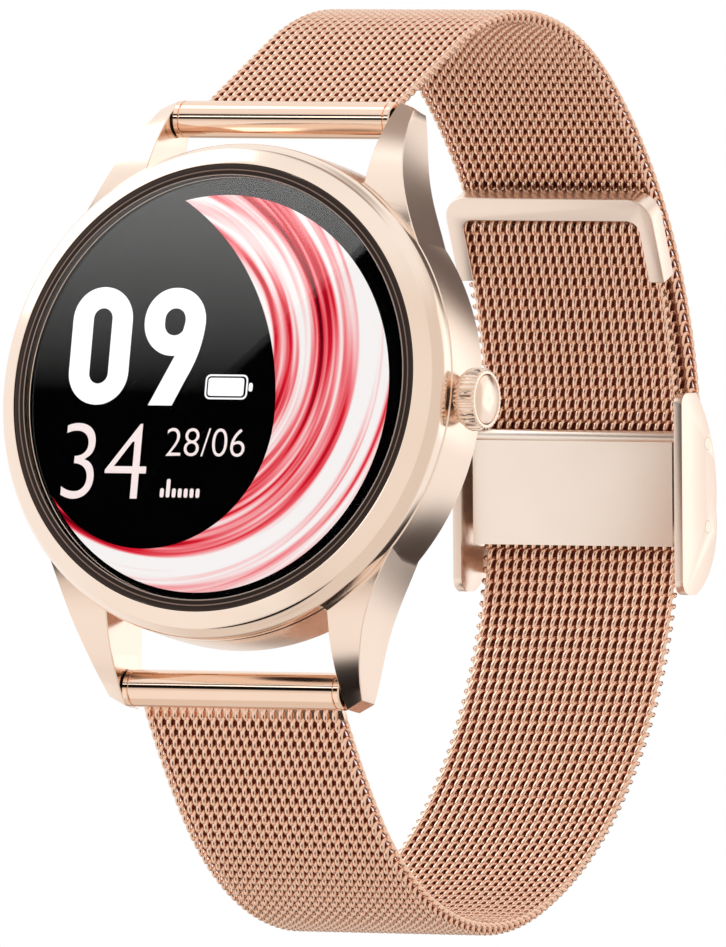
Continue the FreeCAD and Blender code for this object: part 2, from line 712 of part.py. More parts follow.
def walk(runs, heading, spot):
    """Follow straight and turning runs; returns each run's start, middle and end as (spot, heading)."""
    stages = []
    for radius, amount in runs:
        steps = []
        for share in (0.0, 0.5, 1.0):
            if radius is None:
                step = Vector(0, math.cos(heading), math.sin(heading)) * (amount * share)
                steps.append((spot + step, heading))
                continue
            turn = amount * share
            side = math.copysign(radius, turn)
            centre = spot + Vector(0, -math.sin(heading), math.cos(heading)) * side
            new_heading = heading + turn
            steps.append((centre - Vector(0, -math.sin(new_heading), math.cos(new_heading)) * side, new_heading))
        spot, heading = steps[-1]
        stages.append(steps)
    return stages, spot, heading


def band_solid(stages):
    """One closed band of even thickness along its stages."""
    half = number("band_thick") / 2

    def offset(stage, share, side):
        spot, heading = stage[share]
        return spot + Vector(0, -math.sin(heading), math.cos(heading)) * (half * side)

    def long_side(side):
        edges = []
        for stage in stages:
            ends = [offset(stage, share, side) for share in range(3)]
            if abs(stage[0][1] - stage[2][1]) < 1e-9:
                edges.append(Part.LineSegment(ends[0], ends[2]).toShape())
            else:
                edges.append(Part.Arc(*ends).toShape())
        return edges

    caps = [Part.LineSegment(offset(stages[0], 0, -1), offset(stages[0], 0, 1)).toShape(),
            Part.LineSegment(offset(stages[-1], 2, -1), offset(stages[-1], 2, 1)).toShape()]
    outline = Part.Wire(Part.__sortEdges__(long_side(1) + long_side(-1) + caps))
    width = number("band_width")
    solid = Part.Face(outline).extrude(Vector(width, 0, 0))
    solid.translate(Vector(-width / 2, 0, 0))
    return solid


def make_band(label, stages):
    band = doc.addObject("Part::Feature", label)
    band.Shape = band_solid(stages)
    SUB_PARTS.append(band)


def turn_of(alias, sign=1):
    return sign * math.radians(number(alias))


def make_meshes():
    """Upper mesh from its tube to the hook; lower mesh from its tube to the clasp, and its free tail."""
    neck = number("neck_end")
    heading = turn_of("upper_heading")
    bar = Vector(0, number("bar_depth - dial_to_wrist"), number("bar_height"))
    start = bar + Vector(0, math.cos(heading), math.sin(heading)) * neck
    upper, _, _ = walk(
        [(None, number("upper_straight") - neck), (number("upper_bend"), turn_of("upper_bend_turn", -1)),
         (number("upper_fall"), turn_of("upper_fall_turn", -1))], heading, start)
    make_band("strap_upper_mesh", upper)

    heading = turn_of("lower_heading")
    bar = Vector(0, number("bar_depth - dial_to_wrist"), -number("bar_height"))
    start = bar + Vector(0, math.cos(heading), math.sin(heading)) * neck
    lower, split_spot, split_heading = walk(
        [(number("lower_lead"), turn_of("lower_lead_turn")), (number("lower_bend"), turn_of("lower_bend_turn")),
         (number("lower_rise"), turn_of("lower_rise_turn")), (number("lower_close"), turn_of("lower_split_turn"))],
        heading, start)
    make_band("strap_lower_mesh", lower)
    tail, tip_spot, tip_heading = walk(
        [(number("lower_close"), turn_of("lower_close_turn") - turn_of("lower_split_turn")),
         (None, number("tail_straight"))], split_heading, split_spot)
    make_band("strap_tail_mesh", tail)
    return tip_spot, tip_heading


def make_tube(which, sign, heading):
    """End of a strap: a tube that turns on the spring bar, with a neck that holds the mesh."""
    body = new_body(f"strap_{which}_end")
    half, line = "tube_length / 2", "tube_groove_place"
    profile = [(f"-({half})", "tube_bore"), (f"-({half})", "tube_radius")]
    for side, step in (("-", "+"), ("", "-")):
        near, far = ("", " + tube_groove_width") if side == "-" else (" - tube_groove_width", "")
        profile += [(f"{side}({half}) {step} {line}{near}", "tube_radius"),
                    (f"{side}({half}) {step} {line}{near}", "tube_radius - tube_groove"),
                    (f"{side}({half}) {step} {line}{far}", "tube_radius - tube_groove"),
                    (f"{side}({half}) {step} {line}{far}", "tube_radius")]
    profile += [(half, "tube_radius"), (half, "tube_bore")]
    revolved(body, "Revolution", lambda sketch: draw_outline(sketch, profile), "X")

    def neck(sketch):
        draw_outline(sketch, [("neck_start", "-band_thick / 2"), ("neck_end", "-band_thick / 2"),
                              ("neck_end", "band_thick / 2"), ("neck_start", "band_thick / 2")])

    extruded(body, "Pad", "YZ_Plane", neck, "band_width", midplane=True)
    place(body, "0", f"{DIAL} + bar_depth", f"{sign}bar_height", heading)


def make_strap_tip(spot, heading):
    """U-shaped metal tip that caps the end of the tail; its legs run down both edges of the mesh."""
    body = new_body("strap_tip")
    outer, inner, leg = "tip_half_width", "tip_half_width - tip_leg_width", "-tip_leg"
    corner, bend = "tip_corner", "tip_corner * 0.293"

    def shape(sketch):
        corners = [(f"-{outer}", leg), (f"-({inner})", leg), (f"-({inner})", "-1"),
                   (f"-({inner} - 1)", "0"), (f"{inner} - 1", "0"), (f"{inner}", "-1"), (inner, leg), (outer, leg),
                   (outer, f"tip_bar - {corner}"), (f"{outer} - {corner}", "tip_bar"),
                   (f"-({outer} - {corner})", "tip_bar"), (f"-{outer}", f"tip_bar - {corner}")]
        draw_outline(sketch, corners, {2: (f"-({inner} - 0.293)", "-0.293"), 4: (f"{inner} - 0.293", "-0.293"),
                                       8: (f"{outer} - {bend}", f"tip_bar - {bend}"),
                                       10: (f"-({outer} - {bend})", f"tip_bar - {bend}")})

    def slot(sketch):
        draw_outline(sketch, [("-band_width / 2 - fit_gap", f"{leg} - 1"), ("band_width / 2 + fit_gap", f"{leg} - 1"),
                              ("band_width / 2 + fit_gap", "fit_gap"), ("-band_width / 2 - fit_gap", "fit_gap")])

    extruded(body, "Pad", "XY_Plane", shape, "tip_thick", midplane=True)
    extruded(body, "Pocket", "XY_Plane", slot, "band_thick + 4 * fit_gap", midplane=True)
    body.Placement = Placement(spot, Rotation(Vector(1, 0, 0), math.degrees(heading)))


# ---------------------------------------------------------------- clasp

def at_clasp(item, depth="0", height="0"):
    """Place an item by its depth and height in the clasp, which leans about +X."""
    slope = number("clasp_lean")
    deep = f"clasp_plate_depth + ({depth}) * cos(clasp_lean * 1deg) - ({height}) * sin(clasp_lean * 1deg)"
    high = f"clasp_rise + ({depth}) * sin(clasp_lean * 1deg) + ({height}) * cos(clasp_lean * 1deg)"
    item.Placement = Placement(Vector(0, 0, 0), Rotation(Vector(1, 0, 0), slope))
    bind(item, {"Placement.Base.y": deep, "Placement.Base.z": high, "Placement.Rotation.Angle": "clasp_lean"})
    return item


def make_clasp():
    """Sliding clasp: cheeks and bridge, hinged inner lock plate, hooked cross pin and hinged outer cover."""
    frame = new_body("clasp_frame")

    def cheek(sketch):
        draw_outline(sketch, [("cheek_front", "cheek_bottom"), ("cheek_front", "cheek_top"),
                              ("cheek_front + 1", "cheek_crown"), ("cheek_front + 2.6", "cheek_crown"),
                              ("cheek_back", "-1.5"), ("cheek_front + 2.4", "-cheek_crown"),
                              ("cheek_front + 1", "-cheek_crown")],
                     {1: ("cheek_front + 0.3", "cheek_crown - 0.25"), 3: ("cheek_back - 0.75", "4.3"),
                      4: ("cheek_back - 0.55", "-5.4"), 6: ("cheek_front + 0.25", "-cheek_crown + 0.45")})
        draw_circle(sketch, "clasp_pin + 0.02", "pin_depth", "cross_pin_height")
        draw_circle(sketch, "clasp_pin + 0.02", "pin_depth", "cover_pin_height")

    def pin_seat(sketch):
        draw_circle(sketch, "rod_pin + 0.02", "rod_depth", "rod_height")

    def bridge(sketch):
        draw_outline(sketch, [("bridge_depth", "bridge_bottom"), ("bridge_depth + bridge_thick", "bridge_bottom"),
                              ("bridge_depth + bridge_thick", "bridge_top"), ("bridge_depth", "bridge_top")])

    extruded(frame, "Pad", "YZ_Plane", bridge, "2 * cheek_inner + cheek_thick", midplane=True)
    extruded(frame, "Pad", "YZ_Plane", cheek, "cheek_thick", offset="cheek_inner")
    extruded(frame, "Pad", "YZ_Plane", cheek, "cheek_thick", offset="-cheek_inner", reverse=True)
    extruded(frame, "Pocket", "YZ_Plane", pin_seat, "2 * cheek_inner + cheek_thick", midplane=True)
    at_clasp(frame)

    plate = new_body("clasp_lock_plate")

    def plate_side(sketch):
        draw_outline(sketch, [("-rod_depth", "-rod_height - plate_half_height"),
                              ("plate_thick - rod_depth", "-rod_height - plate_half_height"),
                              ("plate_thick - rod_depth", "0"), ("-rod_depth", "0")])

    extruded(plate, "Pad", "YZ_Plane", plate_side, "2 * plate_half_width", midplane=True)
    extruded(plate, "Pad", "YZ_Plane", lambda sketch: draw_circle(sketch, "rod_radius"),
             "2 * plate_half_width + 0.6", midplane=True)
    extruded(plate, "Pocket", "YZ_Plane", lambda sketch: draw_circle(sketch, "rod_bore"), "3 * plate_half_width",
             midplane=True)
    at_clasp(plate, "rod_depth", "rod_height")

    def straight_pin(label, radius, half, depth, height):
        pin = turned(label, [(f"-({half})", "0"), (f"-({half})", radius), (half, radius), (half, "0")], "X")
        at_clasp(pin, depth, height)

    straight_pin("clasp_lock_pin", "rod_pin", "cheek_inner + 0.35", "rod_depth", "rod_height")
    straight_pin("clasp_cross_pin", "clasp_pin", "cheek_inner + cheek_thick", "pin_depth", "cross_pin_height")
    straight_pin("clasp_cover_pin", "clasp_pin", "cheek_inner + cheek_thick", "pin_depth", "cover_pin_height")

    cover = new_body("clasp_cover")

    def flap(sketch):
        outer = "flap_depth + flap_thick - pin_depth"
        draw_outline(sketch, [("flap_depth - pin_depth", "flap_bottom - cover_pin_height"),
                              (outer, "flap_bottom - cover_pin_height"), (outer, "flap_top - cover_pin_height"),
                              ("flap_depth - pin_depth", "flap_top - cover_pin_height")],
                     {1: (f"{outer} + 0.3", "(flap_top + flap_bottom) / 2 - cover_pin_height")})

    def web(sketch):
        draw_outline(sketch, [("0", "-0.5"), ("flap_depth - pin_depth + 0.1", "-0.5"),
                              ("flap_depth - pin_depth + 0.1", "0.5"), ("0", "0.5")])

    extruded(cover, "Pad", "YZ_Plane", flap, "2 * flap_half_width", midplane=True)
    extruded(cover, "Pad", "YZ_Plane", web, "2 * knuckle_half_length", midplane=True)
    extruded(cover, "Pad", "YZ_Plane", lambda sketch: draw_circle(sketch, "knuckle"), "2 * knuckle_half_length",
             midplane=True)
    extruded(cover, "Pocket", "YZ_Plane", lambda sketch: draw_circle(sketch, "pin_hole"), "3 * knuckle_half_length",
             midplane=True)
    at_clasp(cover, "pin_depth", "cover_pin_height")


def make_strap_hook():
    """C-shaped hook that hangs the upper mesh on the clasp's cross pin; it is open towards the tail."""
    hook = new_body("strap_hook")

    def arm(sketch):
        draw_outline(sketch, [("0.95", "2.2"), ("2.2", "2.3"), ("2.1", "1.5"), ("0.85", "-0.3"), ("-0.2", "0.7")])

    def mouth(sketch):
        draw_outline(sketch, [("-2", "-pin_hole"), ("0", "-pin_hole"), ("0", "pin_hole"), ("-2", "pin_hole")])

    extruded(hook, "Pad", "YZ_Plane", arm, "2 * knuckle_half_length", midplane=True)
    extruded(hook, "Pad", "YZ_Plane", lambda sketch: draw_circle(sketch, "knuckle"), "2 * knuckle_half_length",
             midplane=True)
    extruded(hook, "Pocket", "YZ_Plane", lambda sketch: draw_circle(sketch, "pin_hole"), "3 * knuckle_half_length",
             midplane=True)
    extruded(hook, "Pocket", "YZ_Plane", mouth, "3 * knuckle_half_length", midplane=True)
    at_clasp(hook, "pin_depth", "cross_pin_height")


# ---------------------------------------------------------------- build, check and write

make_case_body()
make_front()
make_inner_frame()
make_electronics()
make_back()
make_crown()
make_spring_bars()
tail_end, tail_heading = make_meshes()
make_tube("upper", "", "upper_heading")
make_tube("lower", "-", "lower_heading")
make_strap_tip(tail_end, tail_heading)
make_clasp()
make_strap_hook()
doc.recompute()

broken = [item.Name for item in doc.Objects if {"Invalid", "Error"} & set(item.State)]
if broken:
    raise RuntimeError(f"features that failed: {broken}")
os.makedirs("parts", exist_ok=True)
for sub_part in SUB_PARTS:
    shape = sub_part.Shape
    if shape.isNull() or not shape.isValid() or not shape.Solids:
        raise RuntimeError(f"{sub_part.Label} has no valid solid")
    shape.exportStep(f"parts/{sub_part.Label}.step")
    extent = shape.BoundBox
    print(f"{sub_part.Label:28s} solids {len(shape.Solids)} volume {shape.Volume:9.2f}"
          f" x {extent.XMin:7.2f}..{extent.XMax:7.2f} y {extent.YMin:7.2f}..{extent.YMax:7.2f}"
          f" z {extent.ZMin:7.2f}..{extent.ZMax:7.2f}")
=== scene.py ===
"""Looks of the smartwatch: polished case, lit dial, crown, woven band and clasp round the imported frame."""

import json
import logging
import math
from dataclasses import dataclass, field
from enum import Enum

import bpy
from mathutils import Matrix, Vector


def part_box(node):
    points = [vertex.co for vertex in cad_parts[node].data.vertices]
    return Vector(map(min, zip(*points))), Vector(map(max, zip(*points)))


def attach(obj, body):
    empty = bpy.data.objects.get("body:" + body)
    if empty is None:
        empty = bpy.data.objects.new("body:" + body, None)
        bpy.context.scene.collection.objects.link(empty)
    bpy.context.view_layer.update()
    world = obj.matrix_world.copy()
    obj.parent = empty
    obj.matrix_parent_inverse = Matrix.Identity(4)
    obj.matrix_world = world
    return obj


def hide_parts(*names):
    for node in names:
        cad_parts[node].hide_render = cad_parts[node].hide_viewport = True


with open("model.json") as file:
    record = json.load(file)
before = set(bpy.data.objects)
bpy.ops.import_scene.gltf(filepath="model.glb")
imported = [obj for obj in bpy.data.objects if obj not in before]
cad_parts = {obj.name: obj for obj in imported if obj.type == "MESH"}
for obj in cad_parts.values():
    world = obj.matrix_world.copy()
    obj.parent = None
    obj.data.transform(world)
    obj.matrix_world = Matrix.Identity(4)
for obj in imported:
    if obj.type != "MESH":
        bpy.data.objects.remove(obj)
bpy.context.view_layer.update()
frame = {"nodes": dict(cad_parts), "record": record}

log = logging.getLogger("smartwatch")
MM = 0.001
FULL_TURN = 2 * math.pi
Colour = tuple[float, float, float]
Pair = tuple[float, float]

DIAL_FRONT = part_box("cover_glass")[0][1] / MM


def at(x: float, depth: float, z: float) -> Vector:
    """Turns watch millimetres, with depth behind the glass front, into frame metres.

    Args:
        x: millimetres towards the crown.
        depth: millimetres behind the front of the glass.
        z: millimetres towards twelve o'clock.

    Returns:
        The place in metres.
    """
    return Vector((x, DIAL_FRONT + depth, z)) * MM


# ---------------------------------------------------------------- hand tools


class Axis(Enum):
    """The line that a turned piece is spun about, with the side its profile is drawn on."""

    DIAL = ((0, 1, 0), (1, 0, 0))
    CROSS = ((1, 0, 0), (0, 0, 1))


def rest_hands() -> None:
    """Goes back to object mode with nothing selected."""
    if bpy.context.object is not None and bpy.context.object.mode != "OBJECT":
        bpy.ops.object.mode_set(mode="OBJECT")
    bpy.ops.object.select_all(action="DESELECT")


def pick_up(piece: bpy.types.Object) -> None:
    """Makes one piece the only selected and the active one."""
    rest_hands()
    piece.select_set(True)
    bpy.context.view_layer.objects.active = piece


def start_edit(piece: bpy.types.Object) -> None:
    """Opens a piece for editing with all of it selected."""
    pick_up(piece)
    bpy.ops.object.mode_set(mode="EDIT")
    bpy.ops.mesh.select_all(action="SELECT")


def close_edit(weld: float = 2e-7) -> None:
    """Welds doubles, drops loose bits, turns the faces outward and leaves edit mode.

    Args:
        weld: the largest gap that is welded, in metres.
    """
    bpy.ops.mesh.select_all(action="SELECT")
    bpy.ops.mesh.remove_doubles(threshold=weld)
    bpy.ops.mesh.delete_loose(use_verts=True, use_edges=True, use_faces=False)
    bpy.ops.mesh.select_all(action="SELECT")
    bpy.ops.mesh.normals_make_consistent(inside=False)
    bpy.ops.object.mode_set(mode="OBJECT")


def apply_modifier(piece: bpy.types.Object, kind: str, **settings: object) -> None:
    """Adds one modifier to a piece and applies it.

    Args:
        piece: the piece to change.
        kind: Blender's name of the modifier.
        settings: the modifier's values.
    """
    pick_up(piece)
    modifier = piece.modifiers.new(kind.lower(), kind)
    for name, value in settings.items():
        setattr(modifier, name, value)
    bpy.ops.object.modifier_apply(modifier=modifier.name)


def soften(piece: bpy.types.Object, width: float, segments: int = 3, sharp: float = 28.0) -> None:
    """Rounds a piece's sharp edges.

    Args:
        piece: the piece to soften.
        width: the width of the rounding in millimetres.
        segments: how many facets the rounding has.
        sharp: the least angle in degrees that is rounded.
    """
    apply_modifier(piece, "BEVEL", width=width * MM, segments=segments, limit_method="ANGLE",
                   angle_limit=math.radians(sharp), harden_normals=False, use_clamp_overlap=True)


def smooth(piece: bpy.types.Object, angle: float = 35.0) -> None:
    """Shades a piece smooth where its faces meet at less than an angle in degrees."""
    pick_up(piece)
    bpy.ops.object.shade_smooth_by_angle(angle=math.radians(angle))


def outline_loop(name: str, places: list[Vector], filled: bool) -> bpy.types.Object:
    """Lays a closed loop whose corners are the places given.

    Args:
        name: the piece's name.
        places: the corners in metres.
        filled: whether the loop is a face.

    Returns:
        The new piece, in object mode.
    """
    rest_hands()
    bpy.ops.mesh.primitive_circle_add(vertices=len(places), radius=MM,
                                      fill_type="NGON" if filled else "NOTHING")
    piece = bpy.context.object
    piece.name = piece.data.name = name
    for corner, place in zip(piece.data.vertices, places):
        corner.co = place
    return piece


def slab(name: str, places: list[Vector], push: Vector, width: float = 0.0,
         segments: int = 3) -> bpy.types.Object:
    """Extrudes a filled outline into a slab and rounds its edges.

    Args:
        name: the piece's name.
        places: the outline's corners in metres.
        push: the extrusion in metres.
        width: the rounding in millimetres, or 0 for none.
        segments: how many facets the rounding has.

    Returns:
        The finished slab.
    """
    piece = outline_loop(name, places, filled=True)
    start_edit(piece)
    bpy.ops.mesh.extrude_region_move(TRANSFORM_OT_translate={"value": push})
    close_edit()
    if width:
        soften(piece, width, segments)
    smooth(piece)
    return piece


def turned(name: str, profile: list[Pair], axis: Axis, centre: Vector, steps: int = 160) -> bpy.types.Object:
    """Spins a closed profile of (radius, height) corners into a turned piece.

    Args:
        name: the piece's name.
        profile: the corners in millimetres, the radius first.
        axis: the line that the profile is spun about.
        centre: a point on that line in metres, where the height is 0.
        steps: how many facets a turn has.

    Returns:
        The finished piece.
    """
    line, arm = (Vector(way) for way in axis.value)
    places = [centre + (arm * radius + line * height) * MM for radius, height in profile]
    piece = outline_loop(name, places, filled=False)
    start_edit(piece)
    bpy.ops.mesh.spin(steps=steps, angle=FULL_TURN, use_auto_merge=True, center=centre, axis=line)
    close_edit()
    smooth(piece)
    return piece


def lofted(name: str, stations: list[list[Vector]]) -> bpy.types.Object:
    """Extrudes a face from station to station, its corners moved to each station's places.

    Args:
        name: the piece's name.
        stations: loops with the same number of places, in metres.

    Returns:
        The closed piece, not yet smoothed.
    """
    piece = outline_loop(name, stations[0], filled=True)
    start_edit(piece)
    for before, after in zip(stations, stations[1:]):
        bpy.ops.mesh.select_all(action="DESELECT")
        bpy.ops.object.mode_set(mode="OBJECT")
        lid = piece.data.polygons[-1] if len(piece.data.polygons) == 1 else max(
            piece.data.polygons, key=lambda face: -(face.center - middle(before)).length)
        lid.select = True
        bpy.ops.object.mode_set(mode="EDIT")
        bpy.ops.mesh.extrude_region_move(TRANSFORM_OT_translate={"value": (0, 0, 0)})
        bpy.ops.object.mode_set(mode="OBJECT")
        lifted = [corner for corner in piece.data.vertices if corner.select]
        for corner in lifted:
            nearest = min(range(len(before)), key=lambda index: (before[index] - corner.co).length)
            corner.co = after[nearest]
        bpy.ops.object.mode_set(mode="EDIT")
    close_edit()
    return piece


def middle(places: list[Vector]) -> Vector:
    """Gives the mean of some places."""
    return sum(places, Vector()) / len(places)


def arc_through(start: Pair, through: Pair, end: Pair, count: int) -> list[Pair]:
    """Gives points along the circular arc through three points, both ends included.

    Args:
        start: the first point.
        through: a point on the way.
        end: the last point.
        count: how many points.

    Returns:
        The points in order.
    """
    (ax, ay), (bx, by), (cx, cy) = start, through, end
    scale = 2 * (ax * (by - cy) + bx * (cy - ay) + cx * (ay - by))
    ux = ((ax**2 + ay**2) * (by - cy) + (bx**2 + by**2) * (cy - ay) + (cx**2 + cy**2) * (ay - by)) / scale
    uy = ((ax**2 + ay**2) * (cx - bx) + (bx**2 + by**2) * (ax - cx) + (cx**2 + cy**2) * (bx - ax)) / scale
    radius = math.hypot(ax - ux, ay - uy)
    first, mid, last = (math.atan2(y - uy, x - ux) for x, y in (start, through, end))
    sweep = (last - first) % FULL_TURN
    if (mid - first) % FULL_TURN > sweep:
        sweep -= FULL_TURN
    angles = [first + sweep * step / (count - 1) for step in range(count)]
    return [(ux + radius * math.cos(angle), uy + radius * math.sin(angle)) for angle in angles]


def height_on(curve: list[Pair], place: float) -> float:
    """Reads a curve of (value, place) points at a place, straight between its points.

    Args:
        curve: the points, their places rising.
        place: where to read.

    Returns:
        The value there.
    """
    for (low, start), (high, end) in zip(curve, curve[1:]):
        if place <= end:
            return low + (high - low) * (place - start) / (end - start)
    return curve[-1][0]


def copy_of(piece: bpy.types.Object, name: str) -> bpy.types.Object:
    """Copies a piece with a mesh of its own."""
    twin = piece.copy()
    twin.data = piece.data.copy()
    twin.name = twin.data.name = name
    bpy.context.collection.objects.link(twin)
    return twin


def mirrored(piece: bpy.types.Object, name: str, across: Vector) -> bpy.types.Object:
    """Copies a piece to the other side of the origin's planes.

    Args:
        piece: the piece to copy.
        name: the copy's name.
        across: -1 on the axes that are mirrored and 1 on the others.

    Returns:
        The mirrored copy, faces outward.
    """
    twin = copy_of(piece, name)
    start_edit(twin)
    bpy.ops.transform.resize(value=across, center_override=(0, 0, 0))
    close_edit()
    return twin


def from_cad(node: str, name: str, width: float, segments: int = 2, sharp: float = 30.0) -> bpy.types.Object:
    """Makes a welded copy of a CAD node with its sharp edges rounded.

    Args:
        node: the CAD node.
        name: the copy's name.
        width: the rounding in millimetres.
        segments: how many facets the rounding has.
        sharp: the least angle in degrees that is rounded.

    Returns:
        The copy, which stands for the node.
    """
    piece = copy_of(frame["nodes"][node], name)
    piece.parent = None
    piece.matrix_world = Matrix.Identity(4)
    piece.hide_render = False
    start_edit(piece)
    bpy.ops.mesh.remove_doubles(threshold=4e-7)
    bpy.ops.mesh.dissolve_limited(angle_limit=math.radians(0.6))
    close_edit()
    if width:
        soften(piece, width, segments, sharp)
    smooth(piece, 40)
    return piece


# ---------------------------------------------------------------- shader bench


class Signal:
    """One output of a shader node, which can be used in sums as a number can."""

    def __init__(self, bench: "Bench", socket: bpy.types.NodeSocket) -> None:
        """Keeps the bench and the socket."""
        self.bench, self.socket = bench, socket

    def sum(self, operation: str, *parts: object) -> "Signal":
        """Adds a Math node with the parts on its inputs."""
        return self.bench.node("ShaderNodeMath", {"operation": operation}, dict(enumerate(parts)))

    def __add__(self, other: object) -> "Signal":
        """Adds."""
        return self.sum("ADD", self, other)

    __radd__ = __add__

    def __mul__(self, other: object) -> "Signal":
        """Multiplies."""
        return self.sum("MULTIPLY", self, other)

    __rmul__ = __mul__

    def __sub__(self, other: object) -> "Signal":
        """Subtracts."""
        return self.sum("SUBTRACT", self, other)

    def __rsub__(self, other: object) -> "Signal":
        """Subtracts from a number."""
        return self.sum("SUBTRACT", other, self)

    def __truediv__(self, other: object) -> "Signal":
        """Divides."""
        return self.sum("DIVIDE", self, other)

    def __pow__(self, other: object) -> "Signal":
        """Raises to a power."""
        return self.sum("POWER", self, other)


class Bench:
    """Builds the nodes of one material or of the world."""

    def __init__(self, tree: bpy.types.NodeTree) -> None:
        """Clears the tree."""
        self.tree = tree
        tree.nodes.clear()

    def node(self, kind: str, settings: dict[str, object] | None = None,
             sockets: dict[str | int, object] | None = None, output: str | int = 0) -> Signal:
        """Adds one node.

        Args:
            kind: the node's type.
            settings: its own values, with "stops" for a ramp's (place, colour) pairs.
            sockets: values or signals for its inputs.
            output: which output is wanted.

        Returns:
            That output as a signal.
        """
        new = self.tree.nodes.new(kind)
        for name, value in (settings or {}).items():
            if name == "stops":
                while len(new.color_ramp.elements) < len(value):
                    new.color_ramp.elements.new(0.5)
                for element, (place, colour) in zip(new.color_ramp.elements, value):
                    element.position, element.color = place, (*colour, 1)
            else:
                setattr(new, name, value)
        for key, value in (sockets or {}).items():
            if isinstance(value, Signal):
                self.tree.links.new(value.socket, new.inputs[key])
            elif isinstance(value, tuple) and new.inputs[key].type == "RGBA":
                new.inputs[key].default_value = (*value, 1)
            else:
                new.inputs[key].default_value = value
        return Signal(self, new.outputs[output] if len(new.outputs) else None)

    def place(self) -> Signal:
        """Gives the place on the piece, in metres."""
        return self.node("ShaderNodeTexCoord", output="Object")

    def noise(self, scale: float, detail: float = 3.0, vector: Signal | None = None) -> Signal:
        """Gives cloudy noise between 0 and 1.

        Args:
            scale: how many clouds a metre has.
            detail: how many finer layers it has.
            vector: where to read it, or the place on the piece.

        Returns:
            The noise.
        """
        return self.node("ShaderNodeTexNoise", {}, {"Vector": vector or self.place(), "Scale": scale,
                                                    "Detail": detail}, "Fac")

    def blend(self, factor: object, first: object, second: object) -> Signal:
        """Mixes two colours.

        Args:
            factor: 0 for the first, 1 for the second.
            first: one colour.
            second: the other colour.

        Returns:
            The mixed colour.
        """
        return self.node("ShaderNodeMix", {"data_type": "RGBA"}, {0: factor, 6: first, 7: second}, 2)

    def ramp(self, factor: object, stops: list[tuple[float, Colour]]) -> Signal:
        """Runs a number through a colour ramp."""
        return self.node("ShaderNodeValToRGB", {"stops": stops}, {"Fac": factor}, "Color")

    def bump(self, height: Signal, strength: float, distance: float) -> Signal:
        """Turns a height into a normal.

        Args:
            height: the height between 0 and 1.
            strength: how strong it is, up to 1.
            distance: the full height in millimetres.

        Returns:
            The normal.
        """
        return self.node("ShaderNodeBump", {}, {"Height": height, "Strength": strength,
                                                "Distance": distance * MM}, "Normal")

    def surface(self, sockets: dict[str | int, object]) -> None:
        """Ends the material in one principled shader."""
        shader = self.node("ShaderNodeBsdfPrincipled", {}, sockets, "BSDF")
        self.node("ShaderNodeOutputMaterial", {}, {"Surface": shader})


class Finish:
    """A finish that makes its material once."""

    name: str

    def build(self, bench: Bench) -> None:
        """Adds the material's nodes."""
        raise NotImplementedError

    def material(self) -> bpy.types.Material:
        """Gives the finish's material, made at the first call."""
        known = bpy.data.materials.get(self.name)
        if known is None:
            known = bpy.data.materials.new(self.name)
            known.use_nodes = True
            self.build(Bench(known.node_tree))
        return known

    def dress(self, *pieces: bpy.types.Object) -> None:
        """Gives pieces this finish alone."""
        for piece in pieces:
            piece.data.materials.clear()
            piece.data.materials.append(self.material())


@dataclass(frozen=True)
class Metal(Finish):
    """Polished, satin or plated metal with cloudy polish and fine buffing marks."""

    name: str
    light: Colour
    deep: Colour
    gloss: float
    haze: float = 0.04
    marks: float = 0.03
    grain: float = 9000.0

    def build(self, bench: Bench) -> None:
        """Adds the metal's nodes."""
        cloud = bench.noise(260.0, 2.0)
        fine = bench.noise(self.grain, 4.0)
        bench.surface({
            "Base Color": bench.blend(cloud, self.light, self.deep),
            "Metallic": 1.0,
            "Roughness": self.gloss + (cloud * 0.6 + fine * 0.4) * self.haze,
            "Normal": bench.bump(fine, self.marks, 0.02),
        })


@dataclass(frozen=True)
class Plastic(Finish):
    """Moulded or printed material with fine grain."""

    name: str
    light: Colour
    deep: Colour
    gloss: float
    grain: float = 5000.0
    relief: float = 0.15
    shine: float = 0.5

    def build(self, bench: Bench) -> None:
        """Adds the plastic's nodes."""
        cloud = bench.noise(500.0, 3.0)
        fine = bench.noise(self.grain, 3.0)
        bench.surface({
            "Base Color": bench.blend(cloud, self.light, self.deep),
            "Roughness": self.gloss + fine * 0.12,
            "Specular IOR Level": self.shine,
            "Normal": bench.bump(fine, self.relief, 0.03),
        })


@dataclass(frozen=True)
class Glass(Finish):
    """Clear hardened glass with a trace of polish haze."""

    name: str
    tint: Colour

    def build(self, bench: Bench) -> None:
        """Adds the glass's nodes."""
        cloud = bench.noise(120.0, 2.0)
        bench.surface({
            "Base Color": bench.blend(cloud, self.tint, tuple(part * 0.98 for part in self.tint)),
            "Roughness": 0.004 + cloud * 0.01,
            "Transmission Weight": 1.0,
            "IOR": 1.47,
        })


@dataclass(frozen=True)
class Lit(Finish):
    """Display ink that glows, with a faint dot pattern."""

    name: str
    glow: Colour
    edge: Colour
    strength: float

    def build(self, bench: Bench) -> None:
        """Adds the glowing ink's nodes."""
        cloud = bench.noise(90.0, 1.0)
        bench.surface({
            "Base Color": bench.blend(cloud, (0.02, 0.02, 0.02), (0.03, 0.03, 0.03)),
            "Roughness": 0.4,
            "Emission Color": bench.blend(cloud, self.glow, self.edge),
            "Emission Strength": self.strength,
        })


